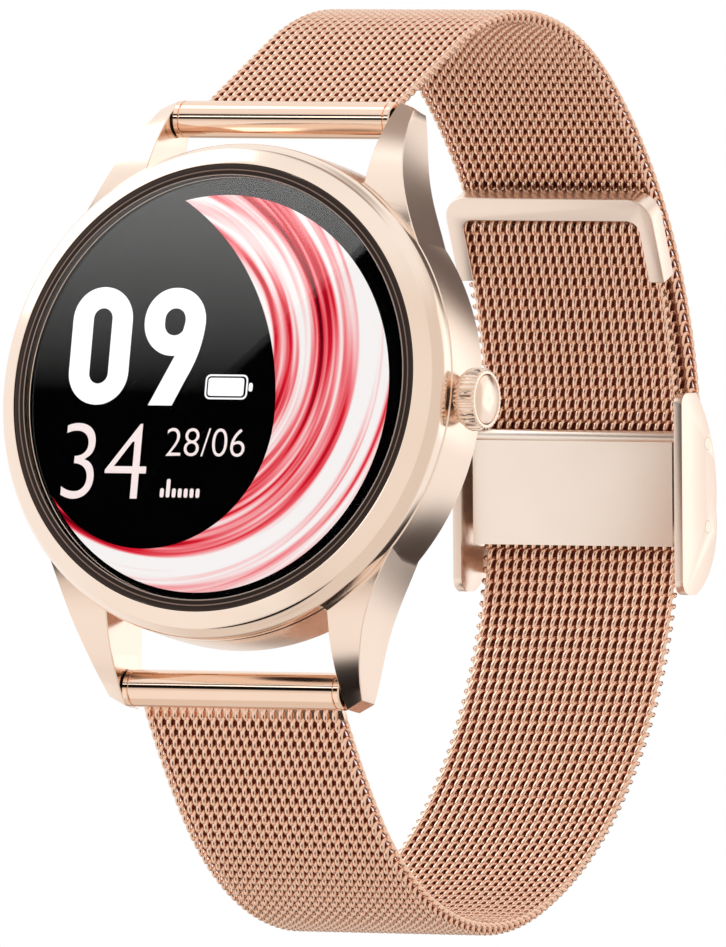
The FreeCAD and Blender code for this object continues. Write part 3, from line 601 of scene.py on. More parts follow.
@dataclass(frozen=True)
class RimPrintAndHighlights(Finish):
    """Dark print under the edge of the glass, with painted highlights as fine lighter circles on its inner edge
    and over its middle step.
    """

    name: str
    inner: float
    outer: float

    def build(self, bench: Bench) -> None:
        """Adds the print's nodes."""
        across = bench.node("ShaderNodeSeparateXYZ", {}, {0: bench.place()}, "X")
        up = Signal(bench, across.socket.node.outputs["Z"])
        reach = ((across * across + up * up) ** 0.5 / MM - self.inner) / (self.outer - self.inner)
        dark, line = (0.028, 0.016, 0.012), (0.34, 0.24, 0.20)
        # Painted highlights: the light band at the inner edge and the lighter circle over the middle step stand
        # in for light caught by the ring's edges; the dark rest is print.
        colour = bench.ramp(reach, [(0.0, (0.55, 0.45, 0.41)), (0.07, (0.40, 0.30, 0.26)),
                                    (0.12, dark), (0.42, dark), (0.47, line), (0.53, line), (0.58, dark),
                                    (0.92, dark), (1.0, (0.10, 0.06, 0.05))])
        bench.surface({"Base Color": colour, "Roughness": 0.34 + bench.noise(3000.0) * 0.1, "Metallic": 0.5})


@dataclass(frozen=True)
class SilkPicture(Finish):
    """Glowing strands that run round a crescent."""

    name: str
    centre: Vector
    strength: float

    def build(self, bench: Bench) -> None:
        """Adds the strands' nodes."""
        spot = bench.node("ShaderNodeVectorMath", {"operation": "SUBTRACT"},
                          {0: bench.place(), 1: tuple(self.centre)}, "Vector")
        parts = bench.node("ShaderNodeSeparateXYZ", {}, {0: spot}, "X")
        across, along = parts, Signal(bench, parts.socket.node.outputs["Z"])
        angle = across.sum("ARCTAN2", along, across)
        reach = (across * across + along * along) ** 0.5 / MM
        sway = reach + across.sum("SINE", angle * 2.0) * 0.8
        strands = bench.node("ShaderNodeCombineXYZ", {}, {0: sway * 0.75, 1: angle * 0.35, 2: 0.3}, "Vector")
        broad = bench.noise(0.62, 1.0, strands)
        fine = bench.noise(2.6, 1.5, strands)
        mix = broad * 0.62 + fine * 0.38
        colour = bench.ramp(mix, [(0.34, (0.12, 0.0, 0.006)), (0.405, (0.75, 0.01, 0.03)),
                                  (0.445, (0.95, 0.22, 0.25)), (0.49, (1.0, 0.66, 0.66)),
                                  (0.54, (1.0, 0.97, 0.96))])
        bench.surface({"Base Color": (0.002, 0.002, 0.002), "Roughness": 0.4, "Specular IOR Level": 0.0,
                       "Emission Color": colour, "Emission Strength": self.strength})


# ---------------------------------------------------------------- finishes

ROSE_LIGHT, ROSE_DEEP = (0.96, 0.80, 0.69), (0.93, 0.76, 0.65)
CASE_GOLD = Metal("rose_gold_case", ROSE_LIGHT, ROSE_DEEP, 0.17, 0.05, 0.02)
TUBE_GOLD = Metal("rose_gold_polished", (0.95, 0.74, 0.60), (0.92, 0.69, 0.55), 0.05, 0.03, 0.01)
BEZEL_GOLD = Metal("rose_gold_bezel", (0.96, 0.82, 0.71), (0.94, 0.78, 0.67), 0.12, 0.04, 0.015)
SATIN_GOLD = Metal("rose_gold_satin", (0.97, 0.83, 0.73), (0.95, 0.79, 0.69), 0.27, 0.05, 0.02)
WIRE_GOLD = Metal("rose_gold_wire", (0.98, 0.70, 0.55), (0.95, 0.64, 0.49), 0.20, 0.05, 0.03)
# A lighter copy of the satin gold for the lock plate: painted light that brightens it where the case shades it.
PLATE_GOLD_PAINTED_LIGHT = Metal("rose_gold_plate_painted_light", (1.0, 0.90, 0.81), (0.98, 0.87, 0.78), 0.32, 0.05, 0.015)
# Dark red colour for the inner layer of the band: painted shade between the wires, darker and redder than the
# wire gold.
CORE_GAP_SHADE = Metal("painted_gap_shade", (0.42, 0.13, 0.085), (0.30, 0.085, 0.055), 0.45, 0.1, 0.1, 1400.0)
RIM_BROWN = Metal("dark_rim", (0.10, 0.055, 0.045), (0.07, 0.04, 0.035), 0.28, 0.06, 0.02)
STEEL = Metal("bright_steel", (0.72, 0.71, 0.70), (0.64, 0.63, 0.62), 0.22, 0.08, 0.05)
SPRING = Metal("spring_steel", (0.60, 0.60, 0.62), (0.50, 0.50, 0.52), 0.30, 0.08, 0.06)
SHIELD = Metal("tinned_shield", (0.66, 0.68, 0.70), (0.58, 0.60, 0.63), 0.36, 0.10, 0.08)
MOTOR = Metal("motor_can", (0.55, 0.54, 0.52), (0.46, 0.45, 0.44), 0.32, 0.10, 0.06)
CONTACT = Metal("gold_contact", (0.95, 0.70, 0.28), (0.90, 0.64, 0.24), 0.18, 0.05, 0.03)
NICKEL = Metal("nickel_magnet", (0.70, 0.68, 0.62), (0.62, 0.60, 0.55), 0.25, 0.06, 0.04)
BLACK_SEAL = Plastic("black_seal", (0.012, 0.011, 0.011), (0.02, 0.018, 0.018), 0.55)
BLACK_PLASTIC = Plastic("black_plastic", (0.02, 0.02, 0.022), (0.03, 0.03, 0.032), 0.45)
BACK_PLASTIC = Plastic("back_plastic", (0.018, 0.017, 0.018), (0.028, 0.026, 0.027), 0.32, 9000.0, 0.2)
BOARD_GREEN = Plastic("board_green", (0.01, 0.10, 0.05), (0.015, 0.14, 0.07), 0.4)
FLEX_AMBER = Plastic("flex_amber", (0.45, 0.20, 0.04), (0.38, 0.16, 0.03), 0.35)
BATTERY_WRAP = Plastic("battery_wrap", (0.05, 0.09, 0.30), (0.06, 0.11, 0.36), 0.38)
LED_WHITE = Plastic("led_white", (0.80, 0.78, 0.66), (0.74, 0.72, 0.60), 0.3)
SWITCH_GREY = Plastic("switch_grey", (0.30, 0.30, 0.32), (0.24, 0.24, 0.26), 0.45)
PANEL_BLACK = Plastic("panel_black", (0.0010, 0.0010, 0.0012), (0.0014, 0.0014, 0.0016), 0.25, 9000.0,
                      0.02, 0.0)
CLEAR_GLASS = Glass("clear_glass", (1.0, 1.0, 1.0))
SMOKED_GLASS = Glass("smoked_glass", (0.10, 0.09, 0.10))
WHITE_INK = Lit("white_ink", (1.0, 1.0, 1.0), (0.95, 0.96, 1.0), 1.15)
PINK_INK = Lit("pink_ink", (1.0, 0.88, 0.86), (1.0, 0.83, 0.82), 1.0)

SLOT_FINISH: dict[str, Finish] = {
    "case_metal": CASE_GOLD, "bezel_metal": BEZEL_GOLD, "crown_metal": CASE_GOLD, "clasp_metal": SATIN_GOLD,
    "pin_metal": CASE_GOLD, "mesh_metal": WIRE_GOLD, "bar_metal": STEEL, "spring_metal": SPRING,
    "cover_glass": CLEAR_GLASS, "display": PANEL_BLACK, "window_glass": SMOKED_GLASS, "seal_rubber": BLACK_SEAL,
    "inner_plastic": BLACK_PLASTIC, "cover_plastic": BACK_PLASTIC, "board": BOARD_GREEN, "flex": FLEX_AMBER,
    "shield_metal": SHIELD, "battery_wrap": BATTERY_WRAP, "motor_metal": MOTOR, "led_white": LED_WHITE,
    "contact_gold": CONTACT, "magnet_nickel": NICKEL, "switch_plastic": SWITCH_GREY,
}


def node_slots() -> dict[str, str]:
    """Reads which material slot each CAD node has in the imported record."""
    return {part["node"]: part["material_slot"] for part in frame["record"]["subparts"]}


def fit(piece: bpy.types.Object, body: str, slot: str, finish: Finish, *nodes: str) -> bpy.types.Object:
    """Dresses a piece, lets it ride on a body and hides the CAD nodes it stands for.

    Args:
        piece: the finished piece.
        body: the body it moves with.
        slot: the record's material slot; not used.
        finish: its finish.
        nodes: the CAD nodes it replaces.

    Returns:
        The piece.
    """
    finish.dress(piece)
    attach(piece, body)
    if nodes:
        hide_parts(*nodes)
    log.info("%s: %d faces on %s", piece.name, len(piece.data.polygons), body)
    return piece


# ---------------------------------------------------------------- case and bezel


@dataclass
class Case:
    """The round middle case with its four lugs, and the bezel in front of it."""

    radius: float = 19.95
    belly: float = 20.0
    front: float = 3.0
    back: float = 9.3
    bore: float = 18.3
    lug_inner: float = 10.0
    lug_root: float = 11.5
    lug_tip: float = 24.45
    tip_slant: float = 0.7
    root_radius: float = 19.2
    stations: int = 19
    tip_lean: float = 0.34

    def ring(self) -> bpy.types.Object:
        """Turns the case ring."""
        rim = arc_through((self.radius, self.front + 0.1), (self.belly, 5.6), (self.radius, 8.1), 9)
        profile = [(self.radius - 0.1, self.front), *rim, (18.95, 9.25), (18.8, self.back), (17.8, self.back),
                   (17.8, 8.3), (16.8, 8.3), (16.8, 7.9), (self.bore, 7.9), (self.bore, self.front)]
        return turned("case_middle", profile, Axis.DIAL, at(0, 0, 0), 224)

    def lug_stations(self) -> list[list[Vector]]:
        """Gives the lug's cross sections from its root to its tip."""
        side = [(x, z) for x, z in arc_through((16.2, 11.4), (13.1, 18.5), (11.5, self.lug_tip - 0.6), 30)]
        face = [(y, z) for y, z in arc_through((3.1, 11.2), (4.25, 18.7), (8.7, 24.7), 30)]
        rear = [(y, z) for y, z in arc_through((7.6, 10.5), (10.1, 19.2), (10.6, 24.5), 30)]
        loops = []
        for step in range(self.stations):
            share = step / (self.stations - 1)
            inner_z = self.lug_root + (self.lug_tip - self.lug_root) * share
            outer_z = inner_z - self.tip_slant * share ** 2
            inner = max(self.lug_inner, math.sqrt(max(0.0, self.root_radius ** 2 - inner_z ** 2)))
            outer, front, back = height_on(side, outer_z), height_on(face, inner_z), height_on(rear, inner_z)
            lean = self.tip_lean * max(0.0, (share - 0.5) / 0.5) ** 1.5
            ridge = height_on(face, outer_z) + (outer - inner) * lean
            waist = outer - 0.12 - 0.42 * math.sin(math.pi * share) ** 2
            loops.append([at(*corner) for corner in (
                (inner, back, inner_z), (inner, front + 0.09, inner_z), (inner + 0.09, front, inner_z),
                (outer - 0.07, ridge, outer_z), (outer, ridge + 0.07, outer_z),
                ((outer + waist) / 2, (ridge + back) / 2, outer_z), (waist, back - 0.2, outer_z),
                (waist - 0.2, back, outer_z))])
        return loops

    def lug(self) -> bpy.types.Object:
        """Lofts the upper right lug."""
        piece = lofted("lug", self.lug_stations())
        soften(piece, 0.06, 2, 50.0)
        return piece

    def build(self) -> None:
        """Builds the case and the bezel."""
        shell = self.ring()
        lug = self.lug()
        for number, across in enumerate(((1, 1, 1), (-1, 1, 1), (1, 1, -1), (-1, 1, -1))):
            arm = mirrored(lug, f"lug_{number}", Vector(across))
            apply_modifier(shell, "BOOLEAN", object=arm, operation="UNION", solver="EXACT")
            bpy.data.objects.remove(arm)
        bpy.data.objects.remove(lug)
        smooth(shell, 20)
        fit(shell, "case", "case_metal", CASE_GOLD, "case_body")
        lip = [(18.02, 0.12), (18.04, 0.05), (18.1, 0.03), (18.2, 0.075), (18.35, 0.16)]
        shoulder = [(19.1, 0.60), (19.26, 0.695), (19.34, 0.75), (19.40, 0.83), (19.47, 0.95)]
        bow = arc_through((19.62, 1.2), (19.86, 1.66), (19.95, 2.1), 7)
        bezel = [*lip, *shoulder, *bow, (19.95, 2.6), (19.95, 2.8), (19.86, 2.9), (18.25, 2.9), (18.25, 3.5),
                 (17.3, 3.5), (17.3, 1.9), (17.0, 1.85), (17.0, 1.3), (17.05, 1.25), (18.02, 1.25)]
        fit(turned("bezel", bezel, Axis.DIAL, at(0, 0, 0), 256), "case", "bezel_metal", BEZEL_GOLD, "bezel_ring")


# ---------------------------------------------------------------- dial


@dataclass
class Dial:
    """The cover glass, its dark rim, the lit panel and what the panel shows."""

    glass_radius: float = 17.75
    trim_inner: float = 17.08
    trim_outer: float = 17.98
    panel_radius: float = 16.8
    panel_front: float = 1.25
    ink: float = 0.02

    def on_panel(self, x: float, z: float) -> Vector:
        """Gives a place just in front of the panel."""
        return at(x, self.panel_front - self.ink, z)

    def glass(self) -> None:
        """Turns the cover glass, its edge stepped down under the trim ring."""
        edge, step = self.glass_radius, self.trim_inner - 0.01
        profile = [(0, 0), (step - 0.3, 0), (step - 0.02, 0), (step, 0.02), (step, 0.2), (step + 0.02, 0.22),
                   (edge - 0.02, 0.22), (edge, 0.24), (edge, 1.1), (edge - 0.03, 1.17), (edge - 0.1, 1.2),
                   (edge - 0.3, 1.2), (0, 1.2)]
        fit(turned("dial_glass", profile, Axis.DIAL, at(0, 0, 0), 192), "case", "cover_glass", CLEAR_GLASS,
            "cover_glass")

    def rim(self) -> None:
        """Turns the dark trim ring round the glass, with two fine steps, and the seal behind it."""
        inner, outer = self.trim_inner, self.trim_outer
        profile = [(inner, 0.21), (inner, 0.015), (inner + 0.05, 0.0), (inner + 0.08, 0.03), (inner + 0.42, 0.05),
                   (inner + 0.45, 0.02), (inner + 0.49, 0.02), (inner + 0.52, 0.06), (outer - 0.04, 0.09),
                   (outer, 0.12), (outer, 0.21)]
        fit(turned("dial_rim", profile, Axis.DIAL, at(0, 0, 0), 224), "case", "inner_plastic",
            RimPrintAndHighlights("rim_print_painted_highlights", inner, outer))
        profile = [(17.77, 0.24), (17.98, 0.24), (17.98, 1.24), (17.77, 1.24)]
        fit(turned("dial_gasket", profile, Axis.DIAL, at(0, 0, 0), 192), "case", "seal_rubber", RIM_BROWN,
            "glass_gasket")

    def panel(self) -> None:
        """Turns the display panel."""
        edge = self.panel_radius
        profile = [(0, self.panel_front), (edge - 0.3, self.panel_front), (edge - 0.05, self.panel_front),
                   (edge, self.panel_front + 0.05), (edge, 2.3), (edge - 0.05, 2.35), (edge - 0.3, 2.35),
                   (0, 2.35)]
        fit(turned("dial_panel", profile, Axis.DIAL, at(0, 0, 0), 128), "case", "display", PANEL_BLACK,
            "display_panel")

    def writing(self, name: str, text: str, left: float, right: float, low: float, high: float, weight: float,
                ink: Finish) -> None:
        """Sets numbers on the panel, stretched to fill a box.

        Args:
            name: the piece's name.
            text: the characters.
            left: the box's left side in millimetres.
            right: its right side.
            low: its lower side.
            high: its upper side.
            weight: how much bolder the strokes are.
            ink: their finish.
        """
        rest_hands()
        bpy.ops.object.text_add()
        piece = bpy.context.object
        piece.data.body, piece.data.offset = text, weight
        bpy.ops.object.convert(target="MESH")
        piece = bpy.context.object
        piece.name = piece.data.name = name
        places = [corner.co.copy() for corner in piece.data.vertices]
        lows = [min(place[axis] for place in places) for axis in range(2)]
        highs = [max(place[axis] for place in places) for axis in range(2)]
        for corner, place in zip(piece.data.vertices, places):
            share = [(place[axis] - lows[axis]) / (highs[axis] - lows[axis]) for axis in range(2)]
            corner.co = self.on_panel(left + (right - left) * share[0], low + (high - low) * share[1])
        start_edit(piece)
        bpy.ops.mesh.extrude_region_move(TRANSFORM_OT_translate={"value": Vector((0, self.ink * MM * 0.9, 0))})
        close_edit()
        fit(piece, "case", "display", ink)

    def shape(self, name: str, loops: list[list[Pair]], ink: Finish) -> None:
        """Lays a flat inked shape with holes on the panel.

        Args:
            name: the piece's name.
            loops: outlines, the holes inside the first one.
            ink: its finish.
        """
        rest_hands()
        drawing = bpy.data.curves.new(name, "CURVE")
        drawing.dimensions, drawing.fill_mode = "2D", "BOTH"
        drawing.extrude = self.ink * MM * 0.45
        for loop in loops:
            spline = drawing.splines.new("POLY")
            spline.points.add(len(loop) - 1)
            for point, (x, z) in zip(spline.points, loop):
                point.co = (x * MM, z * MM, 0, 1)
            spline.use_cyclic_u = True
        piece = bpy.data.objects.new(name, drawing)
        bpy.context.collection.objects.link(piece)
        pick_up(piece)
        bpy.ops.object.convert(target="MESH")
        piece = bpy.context.object
        start_edit(piece)
        bpy.ops.transform.rotate(value=-math.pi / 2, orient_axis="X", center_override=(0, 0, 0))
        bpy.ops.transform.translate(value=at(0, self.panel_front - self.ink / 2, 0))
        close_edit()
        fit(piece, "case", "display", ink)

    def hour_digits(self) -> None:
        """Draws the two bold hour digits."""
        low, high, stroke = -1.4, 8.08, 1.85
        self.shape("hour_zero", [rounded_box(-13.6, -8.2, low, high, 2.65, 14),
                                 rounded_box(-13.6 + stroke, -8.2 - stroke, low + 1.7, high - 1.7, 0.85, 10)],
                   WHITE_INK)
        left, right, waist = -7.1, -1.55, 2.6
        bowl_hole = rounded_box(left + stroke, right - stroke, waist + 1.65, high - 1.65, 0.9, 10)
        self.shape("hour_nine_bowl", [rounded_box(left, right, waist, high, 2.7, 14), bowl_hole], WHITE_INK)
        bow = arc_through((right, 5.3), (right - 0.42, 2.9), (right - 1.3, 0.9), 12)
        self.shape("hour_nine_tail", [[*bow, (right - 2.45, low), (right - 4.6, low), (right - 2.4, 2.9),
                                       (right - stroke, 5.3)]], WHITE_INK)

    def week_marks(self) -> None:
        """Draws seven small day marks, today's one taller."""
        for day in range(7):
            left, tall = -4.35 + day * 0.54, 1.5 if day == 1 else 0.75
            self.shape(f"day_mark_{day}", [rounded_box(left, left + 0.34, -8.8, -8.8 + tall, 0.16, 4)], PINK_INK)

    def battery_mark(self) -> None:
        """Lays the battery sign: a rounded frame with a nose."""
        left, right, low, high = -1.1, 2.75, -0.85, 1.15
        corners = rounded_box(left, right, low, high, 0.45, 5)
        hollow = rounded_box(left + 0.14, right - 0.14, low + 0.14, high - 0.14, 0.34, 5)
        self.shape("sign_battery", [corners, hollow], WHITE_INK)
        charge = rounded_box(left + 0.27, right - 0.34, low + 0.27, high - 0.27, 0.24, 5)
        self.shape("sign_battery_fill", [charge], WHITE_INK)
        self.shape("sign_battery_nose", [rounded_box(2.85, 3.2, -0.2, 0.5, 0.15, 3)], WHITE_INK)

    def crescent(self) -> None:
        """Lays the glowing crescent along the panel's right and lower edge."""
        radius, (middle_x, middle_z) = 16.0, (-0.5, -0.4)
        outer = [(middle_x + radius * math.cos(angle), middle_z + radius * math.sin(angle))
                 for angle in [math.radians(104 - 252 * step / 104) for step in range(105)]]
        belly = (5.4, -2.0)
        inner = arc_through(outer[-1], (-4.6, -12.9), belly, 56)[1:]
        inner += arc_through(belly, (2.79, 7.86), outer[0], 49)[1:-1]
        fit(slab("picture_crescent", [self.on_panel(x, z) for x, z in outer + inner],
                 Vector((0, self.ink * MM * 0.9, 0))), "case", "display", SilkPicture(
                     "silk_crescent", at(-5.0, 0, 4.0), 1.0))

    def build(self) -> None:
        """Builds all of the dial."""
        self.glass()
        self.rim()
        self.panel()
        self.crescent()
        self.hour_digits()
        self.week_marks()
        self.writing("minutes", "34", -13.45, -5.8, -9.0, -2.9, -0.013, PINK_INK)
        self.writing("date", "28/06", -4.15, 2.95, -5.45, -3.2, -0.012, PINK_INK)
        self.battery_mark()


def rounded_box(left: float, right: float, low: float, high: float, corner: float, count: int) -> list[Pair]:
    """Gives the outline of a box with round corners.

    Args:
        left: the left side.
        right: the right side.
        low: the lower side.
        high: the upper side.
        corner: the corner radius.
        count: points on each corner.

    Returns:
        The points, anticlockwise from the lower right corner.
    """
    points = []
    for turn, (x, y) in enumerate(((right - corner, low + corner), (right - corner, high - corner),
                                   (left + corner, high - corner), (left + corner, low + corner))):
        for step in range(count):
            angle = math.radians(-90 + 90 * turn + 90 * step / (count - 1))
            points.append((x + corner * math.cos(angle), y + corner * math.sin(angle)))
    return points


# ---------------------------------------------------------------- crown


@dataclass
class Crown:
    """The push and turn crown at three o'clock."""

    depth: float = 4.6
    teeth: int = 36
    root: float = 20.35
    face: float = 22.35

    def stations(self) -> list[list[Vector]]:
        """Gives the toothed cross sections along the crown."""
        rows = [(self.root, 1.95, 1.95), (self.root + 0.05, 2.05, 2.05), (self.root + 0.42, 2.3, 2.22),
                (self.root + 0.6, 2.46, 2.30), (self.root + 0.75, 2.5, 2.32), (self.face - 0.28, 2.5, 2.32),
                (self.face - 0.1, 2.42, 2.30), (self.face, 2.24, 2.24), (self.face, 2.05, 2.05),
                (self.face - 0.06, 2.0, 2.0), (self.face - 0.3, 1.98, 1.98)]
        loops = []
        for x, crest, valley in rows:
            loop = []
            for step in range(self.teeth * 4):
                angle = FULL_TURN * (step + 0.5) / (self.teeth * 4)
                radius = crest if step % 4 < 2 else valley
                loop.append(at(x, self.depth + radius * math.sin(angle), radius * math.cos(angle)))
            loops.append(loop)
        return loops

    def build(self) -> None:
        """Builds the crown cap and its domed inlay."""
        cap = lofted("crown_knurled", self.stations())
        smooth(cap, 30)
        fit(cap, "crown", "crown_metal", CASE_GOLD, "crown_cap")
        dome = arc_through((0, 22.64), (1.4, 22.52), (1.9, 22.32), 8)
        inlay = turned("crown_dome", [*dome, (1.97, 22.2), (1.97, 22.02), (0, 22.02)], Axis.CROSS,
                       at(0, self.depth, 0), 96)
        fit(inlay, "crown", "crown_metal", CASE_GOLD, "crown_inlay")


# ---------------------------------------------------------------- band


class Hand(Enum):
    """Which way a coil is wound."""

    LEFT = -1
    RIGHT = 1


@dataclass
class BandLine:
    """The band's middle line: where it starts, its heading and its runs of (length, turn) in the side plane."""

    start: Pair
    heading: float
    runs: list[Pair]

    def points(self, gap: float = 0.5) -> list[Vector]:
        """Walks the line.

        Args:
            gap: the step in millimetres.

        Returns:
            Places in metres, flat: depth first and height second.
        """
        (y, z), heading = self.start, math.radians(self.heading)
        places = [Vector((y, z, 0)) * MM]
        for length, turn in self.runs:
            count = max(1, round(length / gap))
            step, bend = length / count, math.radians(turn) / count
            for _ in range(count):
                y += step * math.cos(heading + bend / 2)
                z += step * math.sin(heading + bend / 2)
                heading += bend
                places.append(Vector((y, z, 0)) * MM)
        return places

    @property
    def length(self) -> float:
        """Gives the line's length in millimetres."""
        return sum(length for length, _ in self.runs)

    def bend(self, piece: bpy.types.Object) -> None:
        """Bends a straight piece, which lies along local X, to the line and turns it into the watch's frame."""
        rail_data = bpy.data.curves.new("rail", "CURVE")
        rail_data.dimensions = "2D"
        spline = rail_data.splines.new("POLY")
        places = self.points()
        spline.points.add(len(places) - 1)
        for point, place in zip(spline.points, places):
            point.co = (*place, 1)
        rail = bpy.data.objects.new("rail", rail_data)
        bpy.context.collection.objects.link(rail)
        apply_modifier(piece, "CURVE", object=rail, deform_axis="POS_X")
        bpy.data.objects.remove(rail)
        piece.matrix_world = Matrix(((0, 0, 1, 0), (1, 0, 0, 0), (0, 1, 0, 0), (0, 0, 0, 1)))
        pick_up(piece)
        bpy.ops.object.transform_apply(location=True, rotation=True, scale=True)


def bow_run(radius: float, turn: float) -> Pair:
    """Gives an arc's run: its length and its turn in degrees."""
    return radius * math.radians(abs(turn)), turn


@dataclass
class Weave:
    """The coil that is woven row by row into the band."""

    width: float = 18.2
    turns: int = 22
    wire: float = 0.24
    reach: float = 0.585
    rise: float = 0.415
    row: float = 0.945
    facets: int = 12
    sides: int = 6
    hand: Hand = Hand.LEFT

    def coil(self) -> bpy.types.Object:
        """Winds one flattened coil across the band, its axis along local Z."""
        pitch = (self.width - 2 * self.wire) / self.turns
        rest_hands()
        bpy.ops.mesh.primitive_circle_add(vertices=self.sides, radius=self.wire * MM, fill_type="NOTHING",
                                          location=(self.reach * MM, 0, 0), rotation=(math.pi / 2, 0, 0))
        bpy.ops.object.transform_apply(location=True, rotation=True, scale=True)
        coil = bpy.context.object
        coil.name = coil.data.name = "coil"
        apply_modifier(coil, "SCREW", axis="Z", steps=self.facets, render_steps=self.facets,
                       screw_offset=pitch * MM * self.hand.value, angle=FULL_TURN, iterations=self.turns,
                       use_smooth_shade=True, use_normal_calculate=True)
        start_edit(coil)
        bpy.ops.transform.resize(value=(1, self.rise / self.reach, 1), center_override=(0, 0, 0))
        bpy.ops.transform.translate(value=(0, 0, -self.hand.value * pitch * self.turns / 2 * MM))
        bpy.ops.mesh.select_all(action="DESELECT")
        bpy.ops.mesh.select_mode(type="EDGE")
        bpy.ops.mesh.select_non_manifold()
        bpy.ops.mesh.fill_holes(sides=0)
        bpy.ops.mesh.select_mode(type="VERT")
        close_edit()
        return coil

    def cloth(self, name: str, coil: bpy.types.Object, line: BandLine, first: float,
              rows: int) -> bpy.types.Object:
        """Weaves rows of the coil and bends them along the band's line.

        Args:
            name: the piece's name.
            coil: the coil to repeat.
            line: the band's line.
            first: where the first row lies along it, in millimetres.
            rows: how many rows.

        Returns:
            The woven piece.
        """
        piece = copy_of(coil, name)
        start_edit(piece)
        bpy.ops.transform.translate(value=(first * MM, 0, 0))
        bpy.ops.object.mode_set(mode="OBJECT")
        apply_modifier(piece, "ARRAY", count=rows, use_relative_offset=False, use_constant_offset=True,
                       constant_offset_displace=(self.row * MM, 0, 0))
        line.bend(piece)
        bpy.ops.object.shade_smooth()
        return piece

    def core(self, name: str, line: BandLine, first: float, last: float) -> bpy.types.Object:
        """Makes the dense inner layer that closes the gaps between the coils; its dark red colour is painted
        shade in the gaps.

        Args:
            name: the piece's name.
            line: the band's line.
            first: where it starts along the line, in millimetres.
            last: where it ends.

        Returns:
            The inner layer.
        """
        half, thick, steps = self.width / 2 - 0.55, 0.12, int((last - first) / 0.8)
        rest_hands()
        bpy.ops.mesh.primitive_grid_add(x_subdivisions=steps, y_subdivisions=2, size=1)
        piece = bpy.context.object
        piece.name = piece.data.name = name
        start_edit(piece)
        bpy.ops.transform.resize(value=((last - first) * MM, 2 * half * MM, 1), center_override=(0, 0, 0))
        bpy.ops.transform.translate(value=((first + last) / 2 * MM, 0, -thick / 2 * MM))
        bpy.ops.mesh.extrude_region_move(TRANSFORM_OT_translate={"value": (0, 0, thick * MM)})
        bpy.ops.mesh.select_all(action="SELECT")
        bpy.ops.transform.rotate(value=math.pi / 2, orient_axis="X", center_override=(0, 0, 0))
        close_edit()
        line.bend(piece)
        smooth(piece)
        return piece


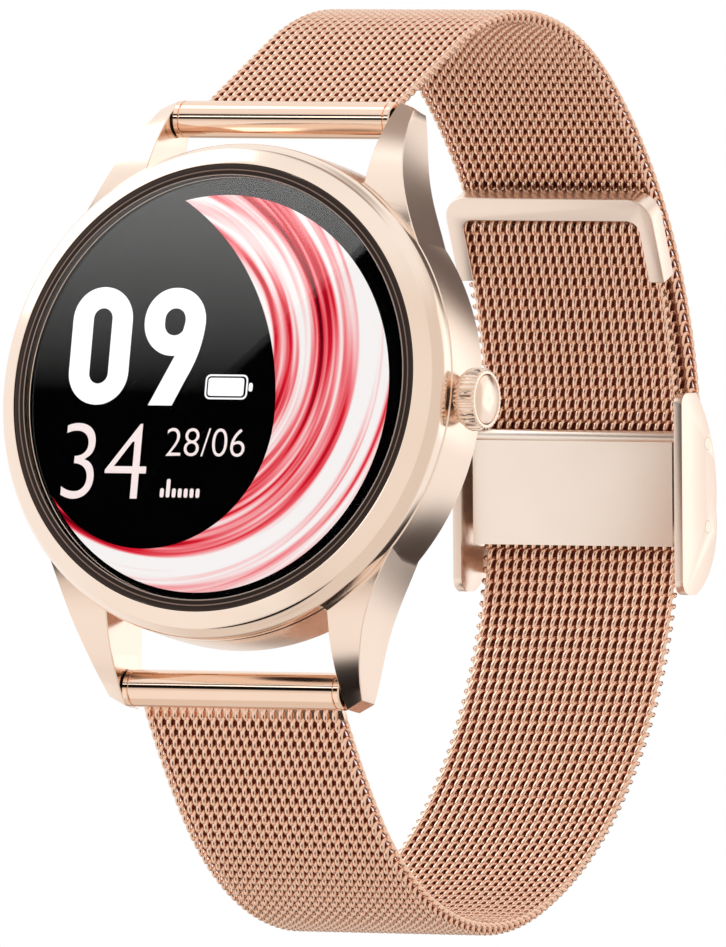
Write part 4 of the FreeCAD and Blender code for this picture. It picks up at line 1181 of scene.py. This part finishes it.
@dataclass
class Band:
    """The two woven straps, their bar tubes, the hook and the tail tip."""

    bar_depth: float = 8.6
    bar_height: float = 23.0
    neck: float = 2.6
    first_row: float = 2.2
    weave: Weave = field(default_factory=Weave)

    def upper_line(self) -> BandLine:
        """Gives the upper strap's line from the bar to the clasp."""
        return BandLine((DIAL_FRONT + self.bar_depth, self.bar_height), 35.8,
                        [(13.5, 0), bow_run(24.2, -63.7), bow_run(41.6, -44.4)])

    def lower_line(self) -> BandLine:
        """Gives the lower strap's line from the bar through the clasp to the tip."""
        return BandLine((DIAL_FRONT + self.bar_depth, -self.bar_height), -48.6,
                        [(self.neck, 0), bow_run(69.1, 8.3), bow_run(25.7, 69.3), bow_run(33.8, 66.3),
                         bow_run(48.4, 27.9), (3.6, 0)])

    def straps(self) -> None:
        """Weaves both straps, each in stretches small enough to handle."""
        coil = self.weave.coil()
        row = self.weave.row
        upper, lower = self.upper_line(), self.lower_line()
        upper_rows = int((upper.length - self.first_row - 0.7) / row) + 1
        lower_rows = int((lower.length - self.first_row - 0.7) / row) + 1
        half = upper_rows // 2
        first = self.first_row
        runs = [("mesh_upper_near", upper, first, half, "strap_upper", "strap_upper_mesh"),
                ("mesh_upper_far", upper, first + half * row, upper_rows - half, "strap_upper", None)]
        third = lower_rows // 3
        runs += [("mesh_lower_near", lower, first, third, "strap_lower", "strap_lower_mesh"),
                 ("mesh_lower_middle", lower, first + third * row, third, "strap_lower", None),
                 ("mesh_lower_tail", lower, first + 2 * third * row, lower_rows - 2 * third, "strap_lower",
                  "strap_tail_mesh")]
        for name, line, start, rows, body, node in runs:
            piece = self.weave.cloth(name, coil, line, start, rows)
            fit(piece, body, "mesh_metal", WIRE_GOLD, *([node] if node else []))
        for name, line, rows, body in (("mesh_upper_core", upper, upper_rows, "strap_upper"),
                                       ("mesh_lower_core", lower, lower_rows, "strap_lower")):
            core = self.weave.core(name, line, first, first + (rows - 1) * row)
            # The inner layer stops the see-through, as the denser real weave does; its dark red finish is painted
            # shade in the gaps.
            fit(core, body, "mesh_metal", CORE_GAP_SHADE)
        bpy.data.objects.remove(coil)

    def tube(self, side: str, height: float, line: BandLine) -> None:
        """Turns a bar tube with its end grooves, and the tongue that holds the first coils.

        Args:
            side: upper or lower.
            height: the tube's height.
            line: the strap's line.
        """
        half, radius, bore = 9.85, 1.5, 1.0
        groove = [(radius, 9.39), (radius - 0.12, 9.36), (radius - 0.12, 9.24), (radius, 9.21)]
        profile = [(bore, -half), (radius - 0.1, -half), (radius, -half + 0.1),
                   *[(reach, -place) for reach, place in groove],
                   *[(reach, place) for reach, place in reversed(groove)],
                   (radius, half - 0.1), (radius - 0.1, half), (bore, half)]
        centre = at(0, self.bar_depth, height)
        tube = turned(f"tube_{side}", profile, Axis.CROSS, centre, 64)
        fit(tube, f"strap_{side}", "mesh_metal", TUBE_GOLD, f"strap_{side}_end")
        turn = math.radians(line.heading)
        along = Vector((0, math.cos(turn), math.sin(turn)))
        across = Vector((0, -math.sin(turn), math.cos(turn)))
        sides = rounded_box(1.35, 2.7, -0.22, 0.22, 0.1, 4)
        tongue = slab(f"tongue_{side}", [centre + (along * x + across * y) * MM + Vector((-9.0, 0, 0)) * MM
                                         for x, y in sides], Vector((18.0 * MM, 0, 0)), 0.05, 2)
        fit(tongue, f"strap_{side}", "mesh_metal", WIRE_GOLD)

    def build(self) -> None:
        """Builds the band."""
        self.straps()
        self.tube("upper", self.bar_height, self.upper_line())
        self.tube("lower", -self.bar_height, self.lower_line())
        tip = from_cad("strap_tip", "tail_tip", 0.18, 4)
        fit(tip, "strap_lower", "clasp_metal", SATIN_GOLD, "strap_tip")
        hook = from_cad("strap_hook", "hanging_hook", 0.05)
        fit(hook, "strap_upper", "clasp_metal", SATIN_GOLD, "strap_hook")


@dataclass
class Clasp:
    """The sliding clasp: cheeks and bridge, lock plate and cover flap."""

    edge: float = 0.14

    def build(self) -> None:
        """Builds the clasp's three main pieces."""
        for node, name, body, width, finish in (
                ("clasp_frame", "clasp_cheeks", "clasp", self.edge, SATIN_GOLD),
                # The lock plate takes the lighter copy of the gold, painted light against the shade of the case.
                ("clasp_lock_plate", "clasp_plate", "lock_plate", 0.1, PLATE_GOLD_PAINTED_LIGHT),
                ("clasp_cover", "clasp_flap", "cover", 0.08, SATIN_GOLD)):
            fit(from_cad(node, name, width, 3), body, "clasp_metal", finish, node)


# ---------------------------------------------------------------- studio


@dataclass
class Studio:
    """Floor, soft light and camera."""

    floor_drop: float = 0.36
    aim: Vector = field(default_factory=lambda: at(10.58, 6.72, -5.74))
    right: Vector = field(default_factory=lambda: Vector((0.878, 0.4708, 0.0864)))
    up: Vector = field(default_factory=lambda: Vector((-0.012, -0.159, 0.987)))
    distance: float = 2.088
    lens: float = 1000.0
    pools: tuple[tuple[Vector, float, float, float, Colour], ...] = (
        (Vector((-1.0, 0.1, 0.25)), 0.25, 0.75, 1.0, (1.0, 0.98, 0.96)),
        (Vector((-0.15, -0.1, 1.0)), 0.40, 0.75, 1.0, (1.0, 0.985, 0.965)),
        (Vector((-0.05, -0.05, 1.0)), 0.90, 0.97, 1.0, (0.40, 0.33, 0.29)),
        (Vector((0.478, -0.868, -0.134)), 0.60, 0.95, 1.0, (0.92, 0.86, 0.80)),
        (Vector((-0.45, -0.60, -0.66)), 0.85, 0.95, 1.0, (1.0, 0.96, 0.92)),
        (Vector((0.49, 0.868, -0.02)), 0.85, 0.94, 1.0, (1.0, 0.97, 0.94)),
        (Vector((0.09, 0.868, 0.487)), 0.962, 0.995, 1.0, (0.12, 0.09, 0.08)),
        (Vector((0.22, 0.868, -0.45)), 0.955, 0.99, 1.0, (0.04, 0.03, 0.027)),
        (Vector((-0.20, 0.80, -0.52)), 0.90, 0.97, 0.7, (0.20, 0.13, 0.09)),
        (Vector((-0.06, -0.30, -0.95)), 0.91, 0.96, 1.0, (0.008, 0.006, 0.006)),
        (Vector((-0.478, -0.868, 0.134)), 0.955, 0.985, 1.0, (0.004, 0.004, 0.004)),
    )

    def floor(self) -> None:
        """Lays a plain pale floor."""
        rest_hands()
        bpy.ops.mesh.primitive_circle_add(vertices=64, radius=4.0, fill_type="NGON",
                                          location=(0, 0, -self.floor_drop))
        bpy.ops.object.transform_apply(location=True)
        floor = bpy.context.object
        floor.name = floor.data.name = "floor"
        floor.visible_glossy = False
        Plastic("floor_paper", (0.74, 0.70, 0.67), (0.72, 0.68, 0.65), 0.8, 300.0, 0.02).dress(floor)

    def lamp(self, name: str, way: Vector, distance: float, size: Pair, power: float, colour: Colour) -> None:
        """Hangs one soft light that points at the watch.

        Args:
            name: the light's name.
            way: the direction from the watch to the light.
            distance: how far it is, in metres.
            size: its width and height in metres.
            power: its power in watts.
            colour: its colour.
        """
        light = bpy.data.lights.new(name, "AREA")
        light.shape, light.size, light.size_y, light.energy, light.color = "RECTANGLE", *size, power, colour
        lamp = bpy.data.objects.new(name, light)
        bpy.context.collection.objects.link(lamp)
        lamp.location = self.aim + way.normalized() * distance
        lamp.rotation_euler = way.to_track_quat("Z", "Y").to_euler()
        lamp.visible_camera = False

    def sky(self) -> None:
        """Makes the pale surroundings that the metal mirrors."""
        world = bpy.data.worlds.new("studio")
        bpy.context.scene.world = world
        world.use_nodes = True
        bench = Bench(world.node_tree)
        way = bench.node("ShaderNodeTexCoord", output="Generated")

        def towards(direction: Vector) -> Signal:
            """Gives how nearly the view direction meets another."""
            return bench.node("ShaderNodeVectorMath", {"operation": "DOT_PRODUCT"},
                              {0: way, 1: tuple(direction.normalized())}, "Value")

        def pool(direction: Vector, edge: float, core: float) -> Signal:
            """Gives 1 near a direction and 0 away from it, between two cosines."""
            return bench.node("ShaderNodeMapRange", {"interpolation_type": "SMOOTHSTEP"},
                              {0: towards(direction), 1: edge, 2: core, 3: 0.0, 4: 1.0}, 0)

        shade: object = (0.80, 0.72, 0.65)
        for direction, edge, core, amount, colour in self.pools:
            shade = bench.blend(pool(direction, edge, core) * amount, shade, colour)
        seen = bench.node("ShaderNodeLightPath", output="Is Camera Ray")
        shade = bench.blend(seen, shade, (1.0, 1.0, 1.0))
        bench.node("ShaderNodeOutputWorld", {}, {"Surface": bench.node(
            "ShaderNodeBackground", {}, {"Color": shade, "Strength": 1.0})})

    def mirror_spot(self, x: float, z: float, reach: float) -> Vector:
        """Gives what the camera sees mirrored at a point of the glass front.

        Args:
            x: the point's millimetres towards the crown.
            z: its millimetres towards twelve o'clock.
            reach: how far from the glass to look, in metres.

        Returns:
            The place in metres.
        """
        spot = at(x, 0, z)
        way = (spot - (self.aim + self.right.cross(self.up).normalized() * self.distance)).normalized()
        return spot + Vector((way.x, -way.y, way.z)) * reach

    def reflector(self) -> None:
        """Hangs the soft card whose edge crosses the glass."""
        reach = 0.45
        corners = [self.mirror_spot(x, z, reach) for x, z in
                   ((-34.0, -31.35), (40.0, 37.25), (14.0, 63.0), (-60.0, -5.0))]
        card = outline_loop("reflector", corners, filled=True)
        bench = Bench(self.paper("reflector_paper").node_tree)
        height = bench.node("ShaderNodeSeparateXYZ", {}, {0: bench.place()}, "Z")
        low, high = (self.mirror_spot(0, z, reach).z for z in (-0.5, 16.0))
        glow = bench.node("ShaderNodeMapRange", {}, {0: height, 1: low, 2: high, 3: 0.0, 4: 1.0}, 0)
        shade = bench.blend(glow, (0.002, 0.002, 0.002), (1.0, 0.99, 0.98))
        light = bench.node("ShaderNodeEmission", {}, {"Color": shade, "Strength": 2.2})
        bench.node("ShaderNodeOutputMaterial", {}, {"Surface": light})
        card.data.materials.append(bpy.data.materials["reflector_paper"])
        card.visible_camera = card.visible_diffuse = card.visible_shadow = False

    def paper(self, name: str) -> bpy.types.Material:
        """Makes an empty node material."""
        material = bpy.data.materials.new(name)
        material.use_nodes = True
        return material

    def camera(self) -> None:
        """Stands the camera."""
        back = self.right.cross(self.up).normalized()
        data = bpy.data.cameras.new("camera")
        data.lens, data.sensor_width, data.clip_end = self.lens, 36.0, 20.0
        camera = bpy.data.objects.new("camera", data)
        bpy.context.collection.objects.link(camera)
        turn = Matrix((self.right.normalized(), back.cross(self.right).normalized(), back)).transposed()
        camera.matrix_world = Matrix.Translation(self.aim + back * self.distance) @ turn.to_4x4()
        bpy.context.scene.camera = camera

    def build(self) -> None:
        """Sets the studio up."""
        self.floor()
        self.sky()
        self.reflector()
        self.lamp("key_softbox", Vector((-0.9, -0.2, 0.75)), 0.9, (0.5, 0.7), 1.3, (1.0, 0.99, 0.98))
        self.lamp("rear_softbox", Vector((0.8, 0.9, 0.35)), 0.9, (0.5, 0.6), 0.35, (1.0, 0.99, 0.98))
        self.camera()
        view = bpy.context.scene.view_settings
        view.view_transform, view.look = "Standard", "None"


def dress_frame() -> None:
    """Gives every carried CAD node the finish of its slot."""
    slots = node_slots()
    for name, node in frame["nodes"].items():
        finish = SLOT_FINISH.get(slots.get(name, ""), BLACK_PLASTIC)
        for place in node.material_slots:
            place.material = finish.material()
        log.info("%s: %s", name, finish.name)


def main() -> None:
    """Builds the watch in order."""
    logging.basicConfig(level=logging.INFO, format="%(message)s")
    dress_frame()
    Studio().build()
    Case().build()
    Dial().build()
    Crown().build()
    Band().build()
    Clasp().build()
    rest_hands()


if __name__ == "__main__":
    main()
